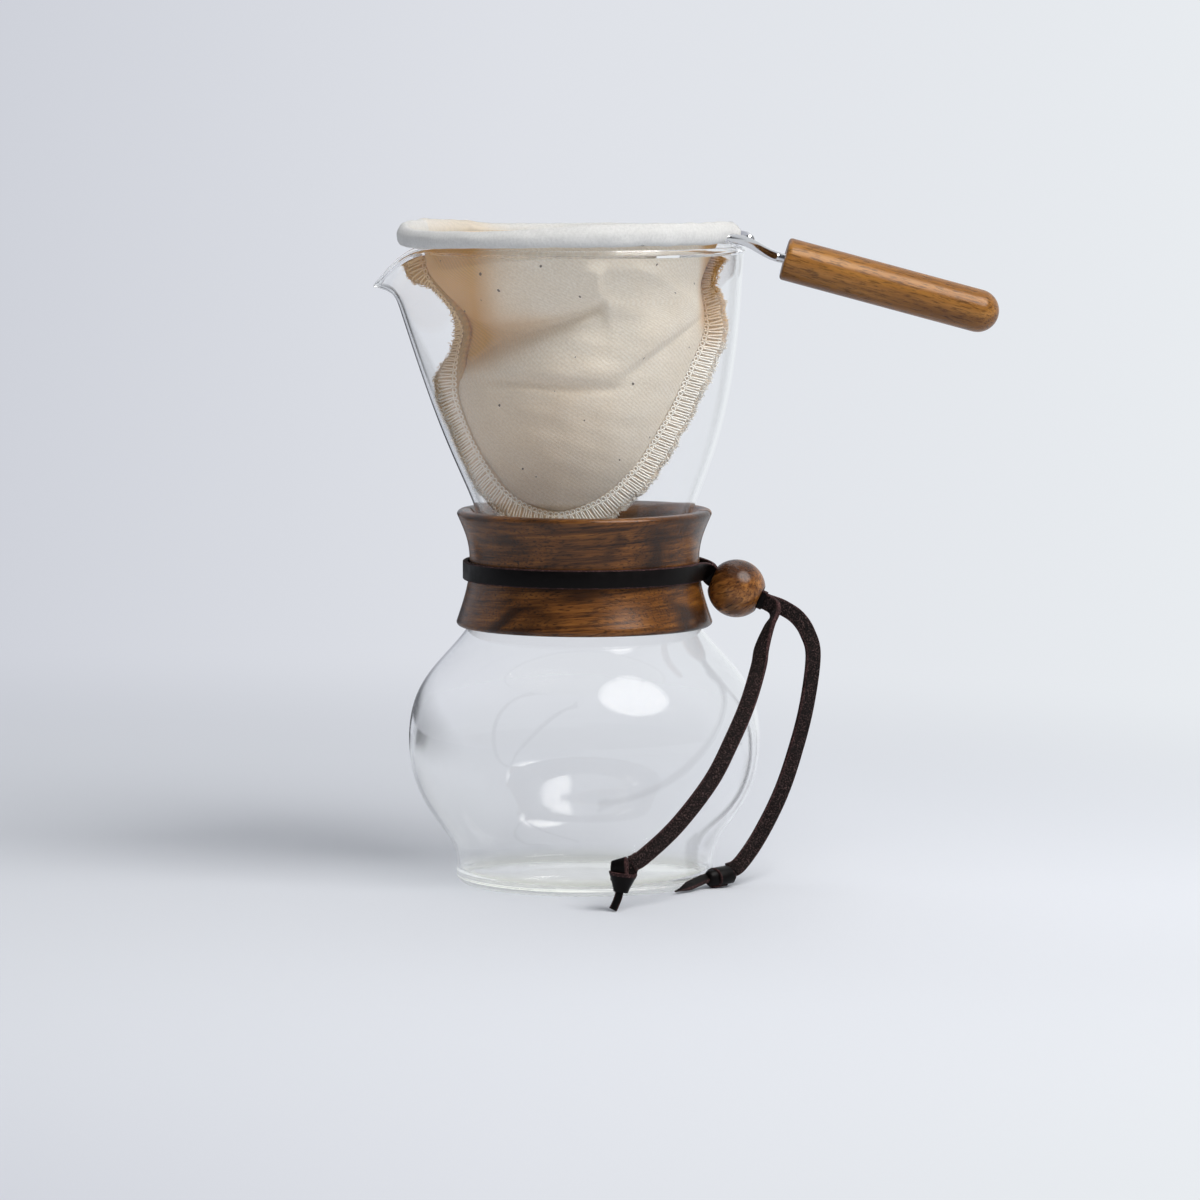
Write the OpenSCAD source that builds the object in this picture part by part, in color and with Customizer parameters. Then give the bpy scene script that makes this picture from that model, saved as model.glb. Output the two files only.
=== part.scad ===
// Pour-over coffee brewer: a one-piece glass carafe with a split wooden collar tied on by a leather strap
// and a bead, and a cloth filter bag on a wire hoop with a wooden handle.
// Millimetres, +Z up. The origin is the centre of the carafe's foot, on the surface that it stands on.
// +X points along the handle and -X along the pouring lip.

/* [Glass carafe] */
// Outer radius of the foot
foot_r = 39; // [37:0.5:41]
// Height of the upright wall of the foot
foot_h = 6; // [4:0.5:9]
// Largest outer radius of the bulb
bulb_r = 53.3; // [50:0.1:56]
// Height of the bulb's widest point
bulb_z = 43.5; // [40:0.5:47]
// Outer radius of the neck at its narrowest point
neck_r = 30.3; // [28.5:0.1:31]
// Height of the neck's narrowest point
neck_z = 96; // [93:0.5:99]
// Outer radius of the mouth
mouth_r = 48; // [47:0.1:50]
// Height of the top of the rim
rim_z = 193.3; // [188:0.1:205]
// Thickness of the glass wall
wall = 1.9; // [1.5:0.1:2.3]
// Thickness of the glass floor
floor_t = 3; // [2.5:0.1:4]
// Radius of the rounded bead along the rim
rim_bead_r = 1.6; // [1.4:0.1:1.8]

/* [Pouring lip] */
// Height where the pouring channel starts
channel_z = 112; // [108:1:118]
// Reach of the channel's wall beyond the round funnel, below the tip
lip_run = 10.5; // [8:0.5:12]
// Further reach of the tip, where the lip curls over
lip_curl = 5; // [3:0.5:7]
// Dip of the lip's tip below the rim
lip_dip = 11; // [8:0.5:13]
// Half of the angle that the lip spans, seen from above
lip_half_angle = 20; // [17:1:24]

/* [Wooden collar] */
// Height of the collar's underside
collar_z = 78; // [77.5:0.1:79]
// Height of the collar
collar_h = 35.2; // [34.5:0.1:36]
// Thickness of the wood at the collar's waist
collar_wall = 4.2; // [3.7:0.1:5.4]
// Reach of the collar's upper edge beyond its waist
collar_flare = 3.8; // [3.2:0.1:6]
// Reach of the collar's lower edge beyond its waist
collar_skirt = 4; // [3.4:0.1:6]
// Height of the waist above the collar's underside
collar_waist_h = 19.7; // [18:0.1:21]
// Radius of the rounded outer edges
collar_edge_r = 1.3; // [0.8:0.1:1.8]
// Height of the bevel inside the upper edge
collar_bevel = 2.6; // [1.5:0.1:3.5]
// Gap between the two halves
split_gap = 0.6; // [0.4:0.1:1]
// Turn of the plane between the two halves, about the upright axis
split_turn = -8; // [-14:1:-2]

/* [Leather strap and bead] */
// Width of the strap
strap_w = 5.2; // [4.6:0.1:5.4]
// Thickness of the strap
strap_t = 1.5; // [1.2:0.1:1.6]
// Height of the middle of the strap round the collar
strap_z = 95; // [94:0.5:97]
// Radius of the bead
bead_r = 8.8; // [8.5:0.1:10]
// Radius of the hole through the bead
bead_bore_r = 3.4; // [3.3:0.1:3.6]
// Drop of the bead's centre below the middle of the strap
bead_drop = 5.8; // [5:0.1:6.5]
// Downward tilt of the bead's hole
bead_tilt = 23.6; // [20:0.1:27]
// Turn of the bead's hole toward the front half
bead_turn = 8; // [4:1:12]

/* [Wire hoop and handle] */
// Radius of the hoop, to the middle of the wire
hoop_r = 49; // [48:0.1:50]
// Offset of the hoop's centre toward the pouring lip
hoop_shift = 5.3; // [4:0.1:6.5]
// Radius of the wire
wire_r = 1.5; // [1.3:0.1:1.7]
// Length of the bare wire between the hoop and the handle
shank_l = 16.6; // [15:0.1:22]
// Drop of the handle's near end below the hoop
shank_drop = 6.8; // [6.3:0.1:7.8]
// Length of the handle
handle_l = 67; // [60:1:80]
// Radius of the handle
handle_r = 6.5; // [5.5:0.1:7.5]
// Downward tilt of the handle
handle_tilt = 15.1; // [12:0.1:17]
// Depth of the wire in the handle
shank_depth = 30; // [24:1:36]

/* [Cloth filter] */
// Thickness of the cloth
cloth_t = 1; // [0.8:0.1:1.2]
// Radius of the hem casing round the wire
hem_r = 2.3; // [2.2:0.1:2.6]
// Rise of the casing's folded edge above the wire
hem_rise = 3.6; // [2:0.1:4.5]
// Radius of the folded edge
hem_edge_r = 1.2; // [1:0.1:1.5]
// Depth of the bag below the hoop, to its bottom seam
bag_depth = 83.8; // [76:0.1:86]
// Half of the bag's width between its side seams
bag_half_w = 35.5; // [30:0.5:36]
// Half of the bag's depth from front to back
bag_half_d = 33; // [26:0.5:34]
// Width of the overlocked seam flap
flap_w = 6.6; // [5:0.1:6.8]
// Thickness of the overlocked seam flap
flap_t = 2; // [1.6:0.1:2.4]
// Depth of the main folds in the panels
fold_depth = 4; // [2:0.5:5]

/* [Hidden] */
$fn = 96;
// Room between pieces that only rest on one another
rest_gap = 0.3;
// Room between the wire and what it runs in
wire_gap = 0.1;
// Room between the bead and the collar
bead_gap = 1.2;
// Inset of the funnel's foot inside the wall of the neck that it grows out of
funnel_inset = 0.15;
// Overlap of the funnel with the neck
funnel_overlap = 2;

// Rounded edges inside and outside the foot
heel_r = 2.5;
heel_in_r = 4;
// Steps along each stretch of a curve
curve_steps = 14;

// Points, directions and curves
function unit(v) = v / norm(v);
function blend(a, b, t) = a + (b - a) * t;
function clamp01(t) = max(0, min(1, t));
function smooth(t) = let (u = clamp01(t)) u * u * (3 - 2 * u);
function bump(d, width) = exp(-pow(d / width, 2));
function arc(c, r, from, to, n) = [for (i = [0:n]) let (a = blend(from, to, i / n)) c + r * [cos(a), sin(a)]];
function bez(p, t) =
    pow(1 - t, 3) * p[0] + 3 * t * pow(1 - t, 2) * p[1] + 3 * t * t * (1 - t) * p[2] + pow(t, 3) * p[3];
function bez_points(p, n) = [for (i = [0:n]) bez(p, i / n)];
// Place on a curve whose second coordinate rises, where that coordinate is z
function bez_at(p, z, lo = 0, hi = 1, n = 22) =
    let (mid = (lo + hi) / 2)
    n == 0 ? mid : bez(p, mid)[1] < z ? bez_at(p, z, mid, hi, n - 1) : bez_at(p, z, lo, mid, n - 1);
function spline_point(a, b, c, d, t) =
    0.5 * (2 * b + (c - a) * t + (2 * a - 5 * b + 4 * c - d) * t * t + (3 * b - a - 3 * c + d) * t * t * t);
// Smooth run through the given points, with n steps between each two
function spline(p, n) =
    let (last = len(p) - 1)
    concat(
        [for (i = [0:last - 1]) for (k = [0:n - 1])
            spline_point(p[max(i - 1, 0)], p[i], p[i + 1], p[min(i + 2, last)], k / n)],
        [p[last]]);
function run_tangent(p, i) = unit(p[min(i + 1, len(p) - 1)] - p[max(i - 1, 0)]);
function flat(lists) = [for (l = lists) each l];

// Glass outline, as [radius, height]: foot to bulb, bulb to neck, neck to rim
rim_mid_z = rim_z - rim_bead_r;
foot_curve = let (h = bulb_z - foot_h)
    [[foot_r, foot_h], [foot_r, foot_h + 0.3 * h], [bulb_r, bulb_z - 0.6 * h], [bulb_r, bulb_z]];
shoulder_curve = let (h = neck_z - bulb_z)
    [[bulb_r, bulb_z], [bulb_r, bulb_z + 0.53 * h], [neck_r, neck_z - 0.52 * h], [neck_r, neck_z]];
funnel_curve = let (h = rim_mid_z - neck_z)
    [[neck_r, neck_z], [neck_r, neck_z + 0.277 * h], [mouth_r - 2.3, rim_mid_z - 0.73 * h], [mouth_r, rim_mid_z]];
function glass_curve(z) = z < bulb_z ? foot_curve : z < neck_z ? shoulder_curve : funnel_curve;
function glass_r(z) = z <= foot_h ? foot_r : let (c = glass_curve(z)) bez(c, bez_at(c, z))[0];
// Level distance across a layer of thickness 1 that lies on the glass at height z
function glass_skew(z) = sqrt(1 + pow(glass_r(z + 0.5) - glass_r(z - 0.5), 2));
// Inside of a curve's wall
function inside_points(p, n) =
    [for (i = [0:n]) let (t = i / n, d = bez(p, min(1, t + 0.01)) - bez(p, max(0, t - 0.01)))
        bez(p, t) - wall * unit([d[1], -d[0]])];
function reversed(p) = [for (i = [len(p) - 1:-1:0]) p[i]];
// The funnel with its lip is a lofted body from this height up, inside the collar
funnel_z = collar_z + collar_h - 6;
function glass_in_r(z) = glass_r(z) - wall * glass_skew(z);
function below_funnel(points) = [for (p = points) if (p[1] < funnel_z - 0.5) p];
round_curves = [foot_curve, shoulder_curve, funnel_curve];
glass_outline = concat(
    [[0, 0]],
    arc([foot_r - heel_r, heel_r], heel_r, -90, 0, 5),
    below_funnel(flat([for (c = round_curves) [for (i = [0:curve_steps - 1]) bez(c, i / curve_steps)]])),
    [[glass_r(funnel_z), funnel_z], [glass_in_r(funnel_z), funnel_z]],
    reversed(below_funnel(flat([for (c = round_curves)
        [for (i = [0:curve_steps - 1]) inside_points(c, curve_steps)[i]]]))),
    arc([foot_r - wall - heel_in_r, floor_t + heel_in_r], heel_in_r, 0, -90, 5),
    [[0, floor_t]]);

// Funnel with its pouring lip, at the angle a off -X: the lip's share of its reach, the height of the edge,
// the reach at height z, and the middle of the wall at share u of the way up
function lip_share(a) = abs(a) >= lip_half_angle ? 0 : (1 + cos(180 * a / lip_half_angle)) / 2;
function edge_z(a) = rim_mid_z - lip_dip * lip_share(a);
function lip_reach(a, z) =
    let (v = clamp01((z - channel_z) / (edge_z(a) - channel_z)))
    lip_share(a) * (lip_run * pow(v, 1.6) + lip_curl * pow(clamp01((v - 0.75) / 0.25), 3));
function wall_in_r(z) = glass_r(z) - wall * glass_skew(min(z, rim_mid_z - 1));
function funnel_mid(u, a) =
    let (z = blend(funnel_z - funnel_overlap, edge_z(a), u)) [(glass_r(z) + wall_in_r(z)) / 2 + lip_reach(a, z), z];
function funnel_normal(u, a) =
    let (d = funnel_mid(min(1, u + 0.01), a) - funnel_mid(max(0, u - 0.01), a)) unit([d[1], -d[0]]);
funnel_rows = 13;
funnel_t = wall - 2 * funnel_inset;
// Closed section of the funnel's wall at angle a: up the outside, over the rounded edge, down the inside
function funnel_section(a) =
    let (
        rows = [for (i = [0:funnel_rows]) 0.985 * i / funnel_rows],
        tip = funnel_mid(1, a),
        out = funnel_normal(1, a),
        up = [-out[1], out[0]])
    concat(
        [for (u = rows) funnel_mid(u, a) + funnel_t / 2 * funnel_normal(u, a)],
        [for (b = [-30:40:210]) tip + rim_bead_r * (cos(b) * out + sin(b) * up)],
        [for (u = reversed(rows)) funnel_mid(u, a) - funnel_t / 2 * funnel_normal(u, a)]);
lip_columns = 16;
plain_columns = 36;
funnel_angles = concat(
    [for (i = [0:lip_columns]) blend(-lip_half_angle, lip_half_angle, i / lip_columns)],
    [for (i = [1:plain_columns - 1]) blend(lip_half_angle, 360 - lip_half_angle, i / plain_columns)]);
function off_lip(a) = a > 180 ? a - 360 : a;

// Clear radius inside the glass at angle a off -X, at and below the rim
function room_r(a, z) =
    let (y = min(z, rim_mid_z))
    min(wall_in_r(y), mouth_r - wall / 2 - rim_bead_r) + lip_reach(a, z) - rest_gap;
// The same, with room for a flat facet of cloth beside the lip's flanks
function cloth_room_r(a, z) = min([for (d = [-7, 0, 7]) room_r(a + d, z)]);

// Collar outline
collar_waist_r = neck_r + rest_gap + collar_wall;
collar_top_r = collar_waist_r + collar_flare;
collar_low_r = collar_waist_r + collar_skirt;
collar_top_z = collar_z + collar_h;
collar_waist_z = collar_z + collar_waist_h;
collar_low_curve = let (z = collar_z + collar_edge_r)
    [[collar_low_r, z], [collar_low_r - 2, z + 6], [collar_waist_r, collar_waist_z - 7],
        [collar_waist_r, collar_waist_z]];
collar_high_curve = let (z = collar_top_z - collar_edge_r)
    [[collar_waist_r, collar_waist_z], [collar_waist_r, collar_waist_z + 6], [collar_top_r - 2.2, z - 5],
        [collar_top_r, z]];
function collar_r(z) =
    let (c = z < collar_waist_z ? collar_low_curve : collar_high_curve) bez(c, bez_at(c, z))[0];
function collar_in_r(z) = glass_r(z) + rest_gap * glass_skew(z);
collar_in_steps = 16;
collar_bevel_z = collar_top_z - collar_bevel;
collar_outline = concat(
    arc([collar_low_r - collar_edge_r, collar_z + collar_edge_r], collar_edge_r, -90, 0, 4),
    [for (p = bez_points(collar_low_curve, 10)) if (p[1] > collar_z + collar_edge_r + 0.1) p],
    [for (p = bez_points(collar_high_curve, 10)) if (p[1] > collar_waist_z + 0.1) p],
    arc([collar_top_r - collar_edge_r, collar_top_z - collar_edge_r], collar_edge_r, 15, 90, 4),
    [[min(collar_in_r(collar_bevel_z) + collar_bevel, collar_top_r - collar_edge_r - 0.6), collar_top_z]],
    [for (i = [0:collar_in_steps])
        let (z = blend(collar_bevel_z, collar_z, i / collar_in_steps)) [collar_in_r(z), z]]);

// Bead: its hole runs along bead_axis, away from the collar
bead_axis = [cos(bead_tilt) * cos(bead_turn), -cos(bead_tilt) * sin(bead_turn), -sin(bead_tilt)];
bead_side = unit(cross(bead_axis, [0, 0, 1]));
bead_up = cross(bead_side, bead_axis);
bead_z = strap_z - bead_drop;
bead_x = bead_gap + max([for (i = [-8:8]) let (z = bead_z + bead_r * i / 8)
    collar_r(max(collar_z + collar_edge_r, z)) + sqrt(max(0, bead_r * bead_r - pow(z - bead_z, 2)))]);
bead_mid = [bead_x, -1, bead_z];
bead_mouth_r = bead_bore_r + 1.1;
bead_mouth_h = 1.3;

// Strap: a run of [x, y, z, width direction], from the front strand's end round the collar to the back one's
strap_mid_r = max(collar_r(strap_z - strap_w / 2), collar_r(strap_z + strap_w / 2)) + strap_t / 2 + 0.2;
strand_off = strap_t / 2 + 0.05;
strand_end = bead_r + 0.5;
function on_strand(s, along, off, up = 0) =
    concat(bead_mid + along * bead_axis + s * off * bead_side + up * bead_up, bead_up);
function on_collar(a) = [strap_mid_r * cos(a), strap_mid_r * sin(a), strap_z, 0, 0, 1];
strap_leave = 16;
function strand(s) = [
    on_strand(s, strand_end, strand_off),
    on_strand(s, 0, strand_off),
    on_strand(s, -bead_r + 1.5, strand_off),
    on_strand(s, -bead_r - 1.1, strand_off + 1.4, 1.2)];
strap_run = concat(
    spline(concat(strand(1), [on_collar(-strap_leave), on_collar(-strap_leave - 6)]), 5),
    [for (a = [-strap_leave - 12:-8:strap_leave - 346]) on_collar(a)],
    spline(concat([on_collar(strap_leave + 6), on_collar(strap_leave)], reversed(strand(-1))), 5));

// Routes of the two tails, each point with the direction of the strap's width there
tail_front_run = concat([on_strand(1, strand_end + 0.05, strand_off)], spline([
    on_strand(1, strand_end + 1.2, strand_off),
    [57.4, -4.4, 83.7, 0.45, -0.25, 0.85],
    [57.6, -7, 81.6, 0.45, -0.55, 0.6],
    [55.8, -9.2, 78.4, 0.45, -0.8, 0.2],
    [53.5, -12.5, 72.2, 0.6, -0.6, -0.2],
    [52.4, -17, 66.9, 0.7, -0.5, -0.25],
    [48.9, -27.5, 57, 0.8, -0.3, -0.4],
    [44, -37, 47, 0.85, -0.2, -0.45],
    [37.6, -47, 36, 0.8, 0, -0.6],
    [27.3, -57, 24, 0.7, 0.1, -0.7],
    [17.4, -63.5, 15.6, 0.6, 0.1, -0.8],
    [14, -65.5, 14, 0.7, 0.1, -0.7]], 3));
tail_back_run = concat([on_strand(-1, strand_end + 0.05, strand_off)], spline([
    on_strand(-1, strand_end + 1.2, strand_off),
    [60.1, -0.6, 83.3, 0.5, 0, 0.9],
    [64.6, 0, 80.2, 0.75, 0.2, 0.7],
    [67.7, 0, 75.5, 0.9, 0.3, 0.45],
    [69.4, 0, 68.5, 0.9, 0.45, 0.05],
    [67.6, 0, 54, 0.85, 0.5, -0.15],
    [64.3, 0, 40.5, 0.85, 0.45, -0.3],
    [59.6, -3, 27, 0.85, 0.3, -0.4],
    [53, -8, 14.5, 0.8, 0.1, -0.6],
    [47, -13, 6.6, 0.6, 0, -0.8],
    [43.5, -14.6, 4.8, 0.5, 0, -0.85]], 3));

// Knots: ends of each knot's axis, and the end of the short tip beyond it
knot_front = [[13, -66.5, 15.7], [11, -66.8, 5.6], [8.4, -67, 0.4]];
knot_back = [[45.5, -13.8, 4.9], [37.3, -19.6, 3.6], [27.2, -32.6, 1.2]];
// Outline of a knot, as [radius, share of its length]
knot_outline = [[0, 0], [2.6, 0], [3.6, 0.25], [4.1, 0.5], [3.4, 0.75], [2.2, 1], [0, 1]];
tip_w = 2.6;
tip_t = 1.9;

// Hoop, shank and handle
hem_low_z = rim_z + rest_gap;
hoop_z = hem_low_z + hem_r;
hoop_x = -hoop_shift;
shank_axis = [cos(handle_tilt), 0, -sin(handle_tilt)];
handle_start = [hoop_x + hoop_r + shank_l, 0, hoop_z - shank_drop];
hoop_open_front = -18;
hoop_open_back = 6;
hem_back = hoop_open_back + 3;
hem_front = hoop_open_front - 3;
function on_hoop(a) = [hoop_x + hoop_r * cos(a), hoop_r * sin(a), hoop_z];
shank_top = handle_start - 4 * shank_axis;
shank_bend = blend(on_hoop(hoop_open_front), shank_top, 0.45) + [0.4, -1.2, 0.8];
hook_end = blend(on_hoop(hoop_open_front), shank_top, 0.62) + [0, 0.4, 2.4 * wire_r - 0.2];
wire_run = concat(
    spline([hook_end, blend(hook_end, on_hoop(hoop_open_back), 0.5) + [1.6, 0, 0.4], on_hoop(hoop_open_back),
        on_hoop(hoop_open_back + 3)], 4),
    [for (a = [hoop_open_back + 6:6:hoop_open_front + 354]) on_hoop(a)],
    spline([on_hoop(hoop_open_front - 3), on_hoop(hoop_open_front), shank_bend, shank_top,
        handle_start - 1.5 * shank_axis, handle_start + 3 * shank_axis,
        handle_start + shank_depth * shank_axis], 4));
handle_chamfer = 0.7;
handle_outline = concat(
    [[0, 0], [handle_r - handle_chamfer, 0], [handle_r, handle_chamfer]],
    arc([0, handle_l - handle_r], handle_r, 0, 90, 16));

// Filter bag: one closed surface of two panels that meet at the seam plane y = 0.
// A place on it is the share v of the way down and the angle a across a panel, from seam to seam.
bag_rows = 20;
bag_columns = 22;
bag_top_z = hoop_z - 0.6;
// Share of the way down where the cloth turns over the rim, and the rows' shares of the way down
bag_turn = (bag_top_z - rim_z - 0.9) / (bag_top_z - hoop_z + bag_depth);
function row_v(i) = i == 0 ? 0 : blend(bag_turn, 1, 1 - pow(1 - (i - 1) / (bag_rows - 1), 1.5));
function seam_half_w(v, inset) =
    (bag_half_w - inset) * pow(1 - pow(v, 4), 0.6) + (hoop_r - hem_r - bag_half_w - 0.2) * bump(v, 0.12);
function seam_mid(v) = blend(hoop_x, -8.2 * v, smooth(v / 0.25));
// Fall of the flap's outer edge below its seam, where the bag narrows
function flap_fall(v) = 0.5 * flap_w * smooth((v - 0.5) / 0.25);
function seam_left(v, inset) =
    max(
        seam_mid(v) - seam_half_w(v, inset) - 5.5 * bump(v - 0.12, 0.07) * smooth(v / 0.1) + 5 * bump(v - 0.35, 0.09),
        v < 0.2 ? -mouth_r - lip_run
            : flap_w + 0.8 - room_r(0, blend(bag_top_z, hoop_z - bag_depth, v) - flap_fall(v)));
function seam_right(v, inset) =
    seam_mid(v) + seam_half_w(v, inset) - 4 * bump(v - 0.16, 0.08) + 1.5 * bump(v - 0.33, 0.1);
function panel_half_d(v, inset) =
    (bag_half_d - inset) * pow(1 - pow(v, 3), 0.7) + (hoop_r - hem_r - bag_half_d - 0.2) * bump(v, 0.14);
// Folds: a soft ridge or hollow along a line between two places of the panel, [x, z] seen from the front,
// with z counted so that the hoop is at this level
fold_level = 195.8;
function along_fold(p, q, at, width) =
    let (d = q - p, t = clamp01((at - p) * d / (d * d))) bump(norm(at - p - t * d), width);
function front_folds(at) =
    fold_depth * (0.9 * along_fold([-36, 178], [6, 183], at, 7) - along_fold([-37, 166], [8, 174], at, 6)
        + 0.5 * along_fold([-36, 158], [8, 155], at, 6) + 0.5 * along_fold([12, 186], [36, 172], at, 5)
        - 0.5 * along_fold([6, 158], [36, 168], at, 5));
function back_folds(at) =
    fold_depth * (0.7 * along_fold([-34, 172], [4, 180], at, 7) - 0.8 * along_fold([-34, 161], [10, 169], at, 6)
        + 0.5 * along_fold([10, 184], [34, 170], at, 6));
// Place on the bag's surface, moved inward by inset, on the front (side -1) or the back (side 1)
function bag_point(side, v, a, inset) =
    let (
        z = blend(bag_top_z, hoop_z - bag_depth + 1.4 * inset, v),
        l = seam_left(v, inset) + inset * bump(v, 0.5),
        r = seam_right(v, inset) - inset * bump(v, 0.5),
        x = (l + r) / 2 + (r - l) / 2 * sin(a),
        lift = -z + hoop_z,
        fold = (side < 0 ? front_folds([x, z - hoop_z + fold_level]) : back_folds([x, z - hoop_z + fold_level])),
        d = panel_half_d(v, inset) * cos(a) + fold * cos(a) * smooth(lift / 12) * (1 - pow(v, 6)),
        y = abs(a) > 89.9 ? 0 : side * max(0.2 * cos(a), d),
        far = norm([x, y]),
        room = cloth_room_r(atan2(y, -x), min(z, rim_z)) - inset - smooth((rim_z + 1 - z) / 4) * 0.3,
        pull = z > rim_z + 1 ? 1 : min(1, room / max(far, 0.01)))
    [x * pull, y * pull, z];
function bag_sheet(side, inset) =
    concat(
        flat([for (i = [0:bag_rows - 1])
            [for (k = [0:bag_columns]) bag_point(side, row_v(i), -90 + 180 * k / bag_columns, inset)]]),
        [bag_point(side, 1, 0, inset) - [0, bag_point(side, 1, 0, inset)[1], 0]]);

// Seam flap: a run of [x, y, z, outward direction] down the left seam and up the right one
flap_start = 0.07;
flap_rows = 24;
function seam_place(v, s) = let (p = bag_point(-1, v, 90 * s, 0)) [p[0], 0, p[2]];
seam_run = concat(
    [for (i = [0:flap_rows]) seam_place(1 - (1 - flap_start) * pow(1 - i / flap_rows, 1.5), -1)],
    [for (i = [1:flap_rows]) seam_place(1 - (1 - flap_start) * pow(i / flap_rows, 1.5), 1)]);
flap_run = [for (i = [0:len(seam_run) - 1])
    let (t = run_tangent(seam_run, i), out = [t[2], 0, -t[0]])
    concat(seam_run[i] + (flap_w / 2 + 0.3) * out, out)];

// Closed solid through rings of equal length, ring by ring, with capped ends or run round to its start
module loft(rings, round = false) {
    n = len(rings[0]);
    last = len(rings) - 1;
    sides = [for (i = [0:round ? last : last - 1]) for (k = [0:n - 1])
        let (j = (i + 1) % len(rings), a = i * n + k, b = i * n + (k + 1) % n, c = j * n + k, d = j * n + (k + 1) % n)
        each [[a, c, b], [b, c, d]]];
    caps = round ? [] : [[for (k = [0:n - 1]) k], [for (k = [n - 1:-1:0]) last * n + k]];
    polyhedron(flat(rings), concat(sides, caps));
}

// Flat band along a run of [x, y, z, width direction]
module band(run, w, t) {
    places = [for (p = run) [p[0], p[1], p[2]]];
    loft([for (i = [0:len(run) - 1])
        let (
            along = run_tangent(places, i),
            given = [run[i][3], run[i][4], run[i][5]],
            across = unit(given - (given * along) * along),
            off = cross(along, across))
        [for (c = [[1, 1], [-1, 1], [-1, -1], [1, -1]])
            places[i] + c[0] * w / 2 * across + c[1] * t / 2 * off]]);
}

// Round wire along a run of places
module wire(run, r, n) {
    loft([for (i = [0:len(run) - 1])
        let (
            along = run_tangent(run, i),
            across = unit([0, 0, 1] - along[2] * along),
            off = cross(along, across))
        [for (k = [0:n - 1]) run[i] + r * (cos(360 * k / n) * across + sin(360 * k / n) * off)]]);
}

// Turns +Z to the direction d
module point_along(d) {
    rotate([0, acos(d[2] / norm(d)), atan2(d[1], d[0])]) children();
}

module glass_carafe() {
    color("lightcyan", 0.4) {
        rotate_extrude() polygon(glass_outline);
        loft([for (a = funnel_angles) let (section = funnel_section(off_lip(a)))
            [for (p = section) [-p[0] * cos(a), p[0] * sin(a), p[1]]]], round = true);
    }
}

module collar_half(s) {
    reach = 2 * collar_low_r;
    color("saddlebrown")
        intersection() {
            rotate_extrude() polygon(collar_outline);
            rotate([0, 0, split_turn])
                translate([-reach, s < 0 ? -reach - split_gap / 2 : split_gap / 2, 0])
                    cube([2 * reach, reach, rim_z]);
        }
}

module collar_front() {
    collar_half(-1);
}

module collar_back() {
    collar_half(1);
}

module strap_loop() {
    color([0.13, 0.09, 0.08]) band(strap_run, strap_w, strap_t);
}

module wood_bead() {
    color("sienna")
        translate(bead_mid)
            point_along(bead_axis)
                difference() {
                    sphere(bead_r);
                    translate([0, 0, -2 * bead_r]) cylinder(r = bead_bore_r, h = 4 * bead_r);
                    for (s = [0, 180])
                        rotate([s, 0, 0])
                            translate([0, 0, bead_r - bead_mouth_h])
                                cylinder(r1 = bead_bore_r, r2 = bead_mouth_r, h = bead_mouth_h);
                }
}

module tail_front() {
    color([0.2, 0.13, 0.12]) band(tail_front_run, strap_w - 0.4, strap_t);
}

module tail_back() {
    color([0.2, 0.13, 0.12]) band(tail_back_run, strap_w - 0.4, strap_t);
}

// Knot as one wound body with the short pointed end of the strap
module strap_knot(places) {
    d = places[1] - places[0];
    color([0.13, 0.09, 0.08]) {
        translate(places[0])
            point_along(d)
                rotate_extrude() polygon([for (p = knot_outline) [p[0], p[1] * norm(d)]]);
        tip = places[2] - places[1];
        translate(places[1] - 0.3 * unit(d))
            point_along(tip)
                translate([-tip_t / 2, -tip_w / 2, 0]) cube([tip_t, tip_w, norm(tip)]);
    }
}

module knot_with_end_front() {
    strap_knot(knot_front);
}

module knot_with_end_back() {
    strap_knot(knot_back);
}

module wire_hoop() {
    color("silver") wire(wire_run, wire_r, 10);
}

module handle() {
    color("peru")
        translate(handle_start)
            point_along(shank_axis)
                difference() {
                    rotate_extrude() polygon(handle_outline);
                    translate([0, 0, -1]) cylinder(r = wire_r + wire_gap, h = shank_depth + 2);
                }
}

module hem_casing() {
    color("white")
        translate([hoop_x, 0, hoop_z])
            rotate([0, 0, hem_back])
                rotate_extrude(angle = 360 + hem_front - hem_back)
                    translate([hoop_r, 0])
                        difference() {
                            hull() {
                                circle(hem_r);
                                translate([0, hem_rise]) circle(hem_edge_r);
                            }
                            circle(wire_r + wire_gap);
                        }
}

// Shell between the bag's outside and inside on one side of the seam plane
module bag_panel(side) {
    n = bag_columns + 1;
    out = bag_sheet(side, 0);
    in = bag_sheet(side, cloth_t);
    pole = bag_rows * n;
    both = len(out);
    sheet = concat(
        [for (i = [0:bag_rows - 2]) for (k = [0:bag_columns - 1])
            let (a = i * n + k)
            each [[a, a + 1, a + n], [a + 1, a + n + 1, a + n]]],
        [for (k = [0:bag_columns - 1]) let (a = (bag_rows - 1) * n + k) [a, a + 1, pole]]);
    border = concat(
        [for (i = [bag_rows - 1:-1:0]) i * n],
        [for (k = [1:bag_columns - 1]) k],
        [for (i = [0:bag_rows - 1]) i * n + bag_columns],
        [pole]);
    edge = [for (i = [0:len(border) - 1])
        let (a = border[i], b = border[(i + 1) % len(border)])
        each [[b, a, a + both], [b, a + both, b + both]]];
    inner = [for (f = sheet) [f[2] + both, f[1] + both, f[0] + both]];
    faces = concat(sheet, edge, inner);
    polyhedron(concat(out, in), side < 0 ? faces : [for (f = faces) [f[2], f[1], f[0]]]);
}

module bag_front_panel() {
    color("wheat") bag_panel(-1);
}

module bag_back_panel() {
    color("wheat") bag_panel(1);
}

module seam_flap() {
    color("tan") band(flap_run, flap_w, flap_t);
}

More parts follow.
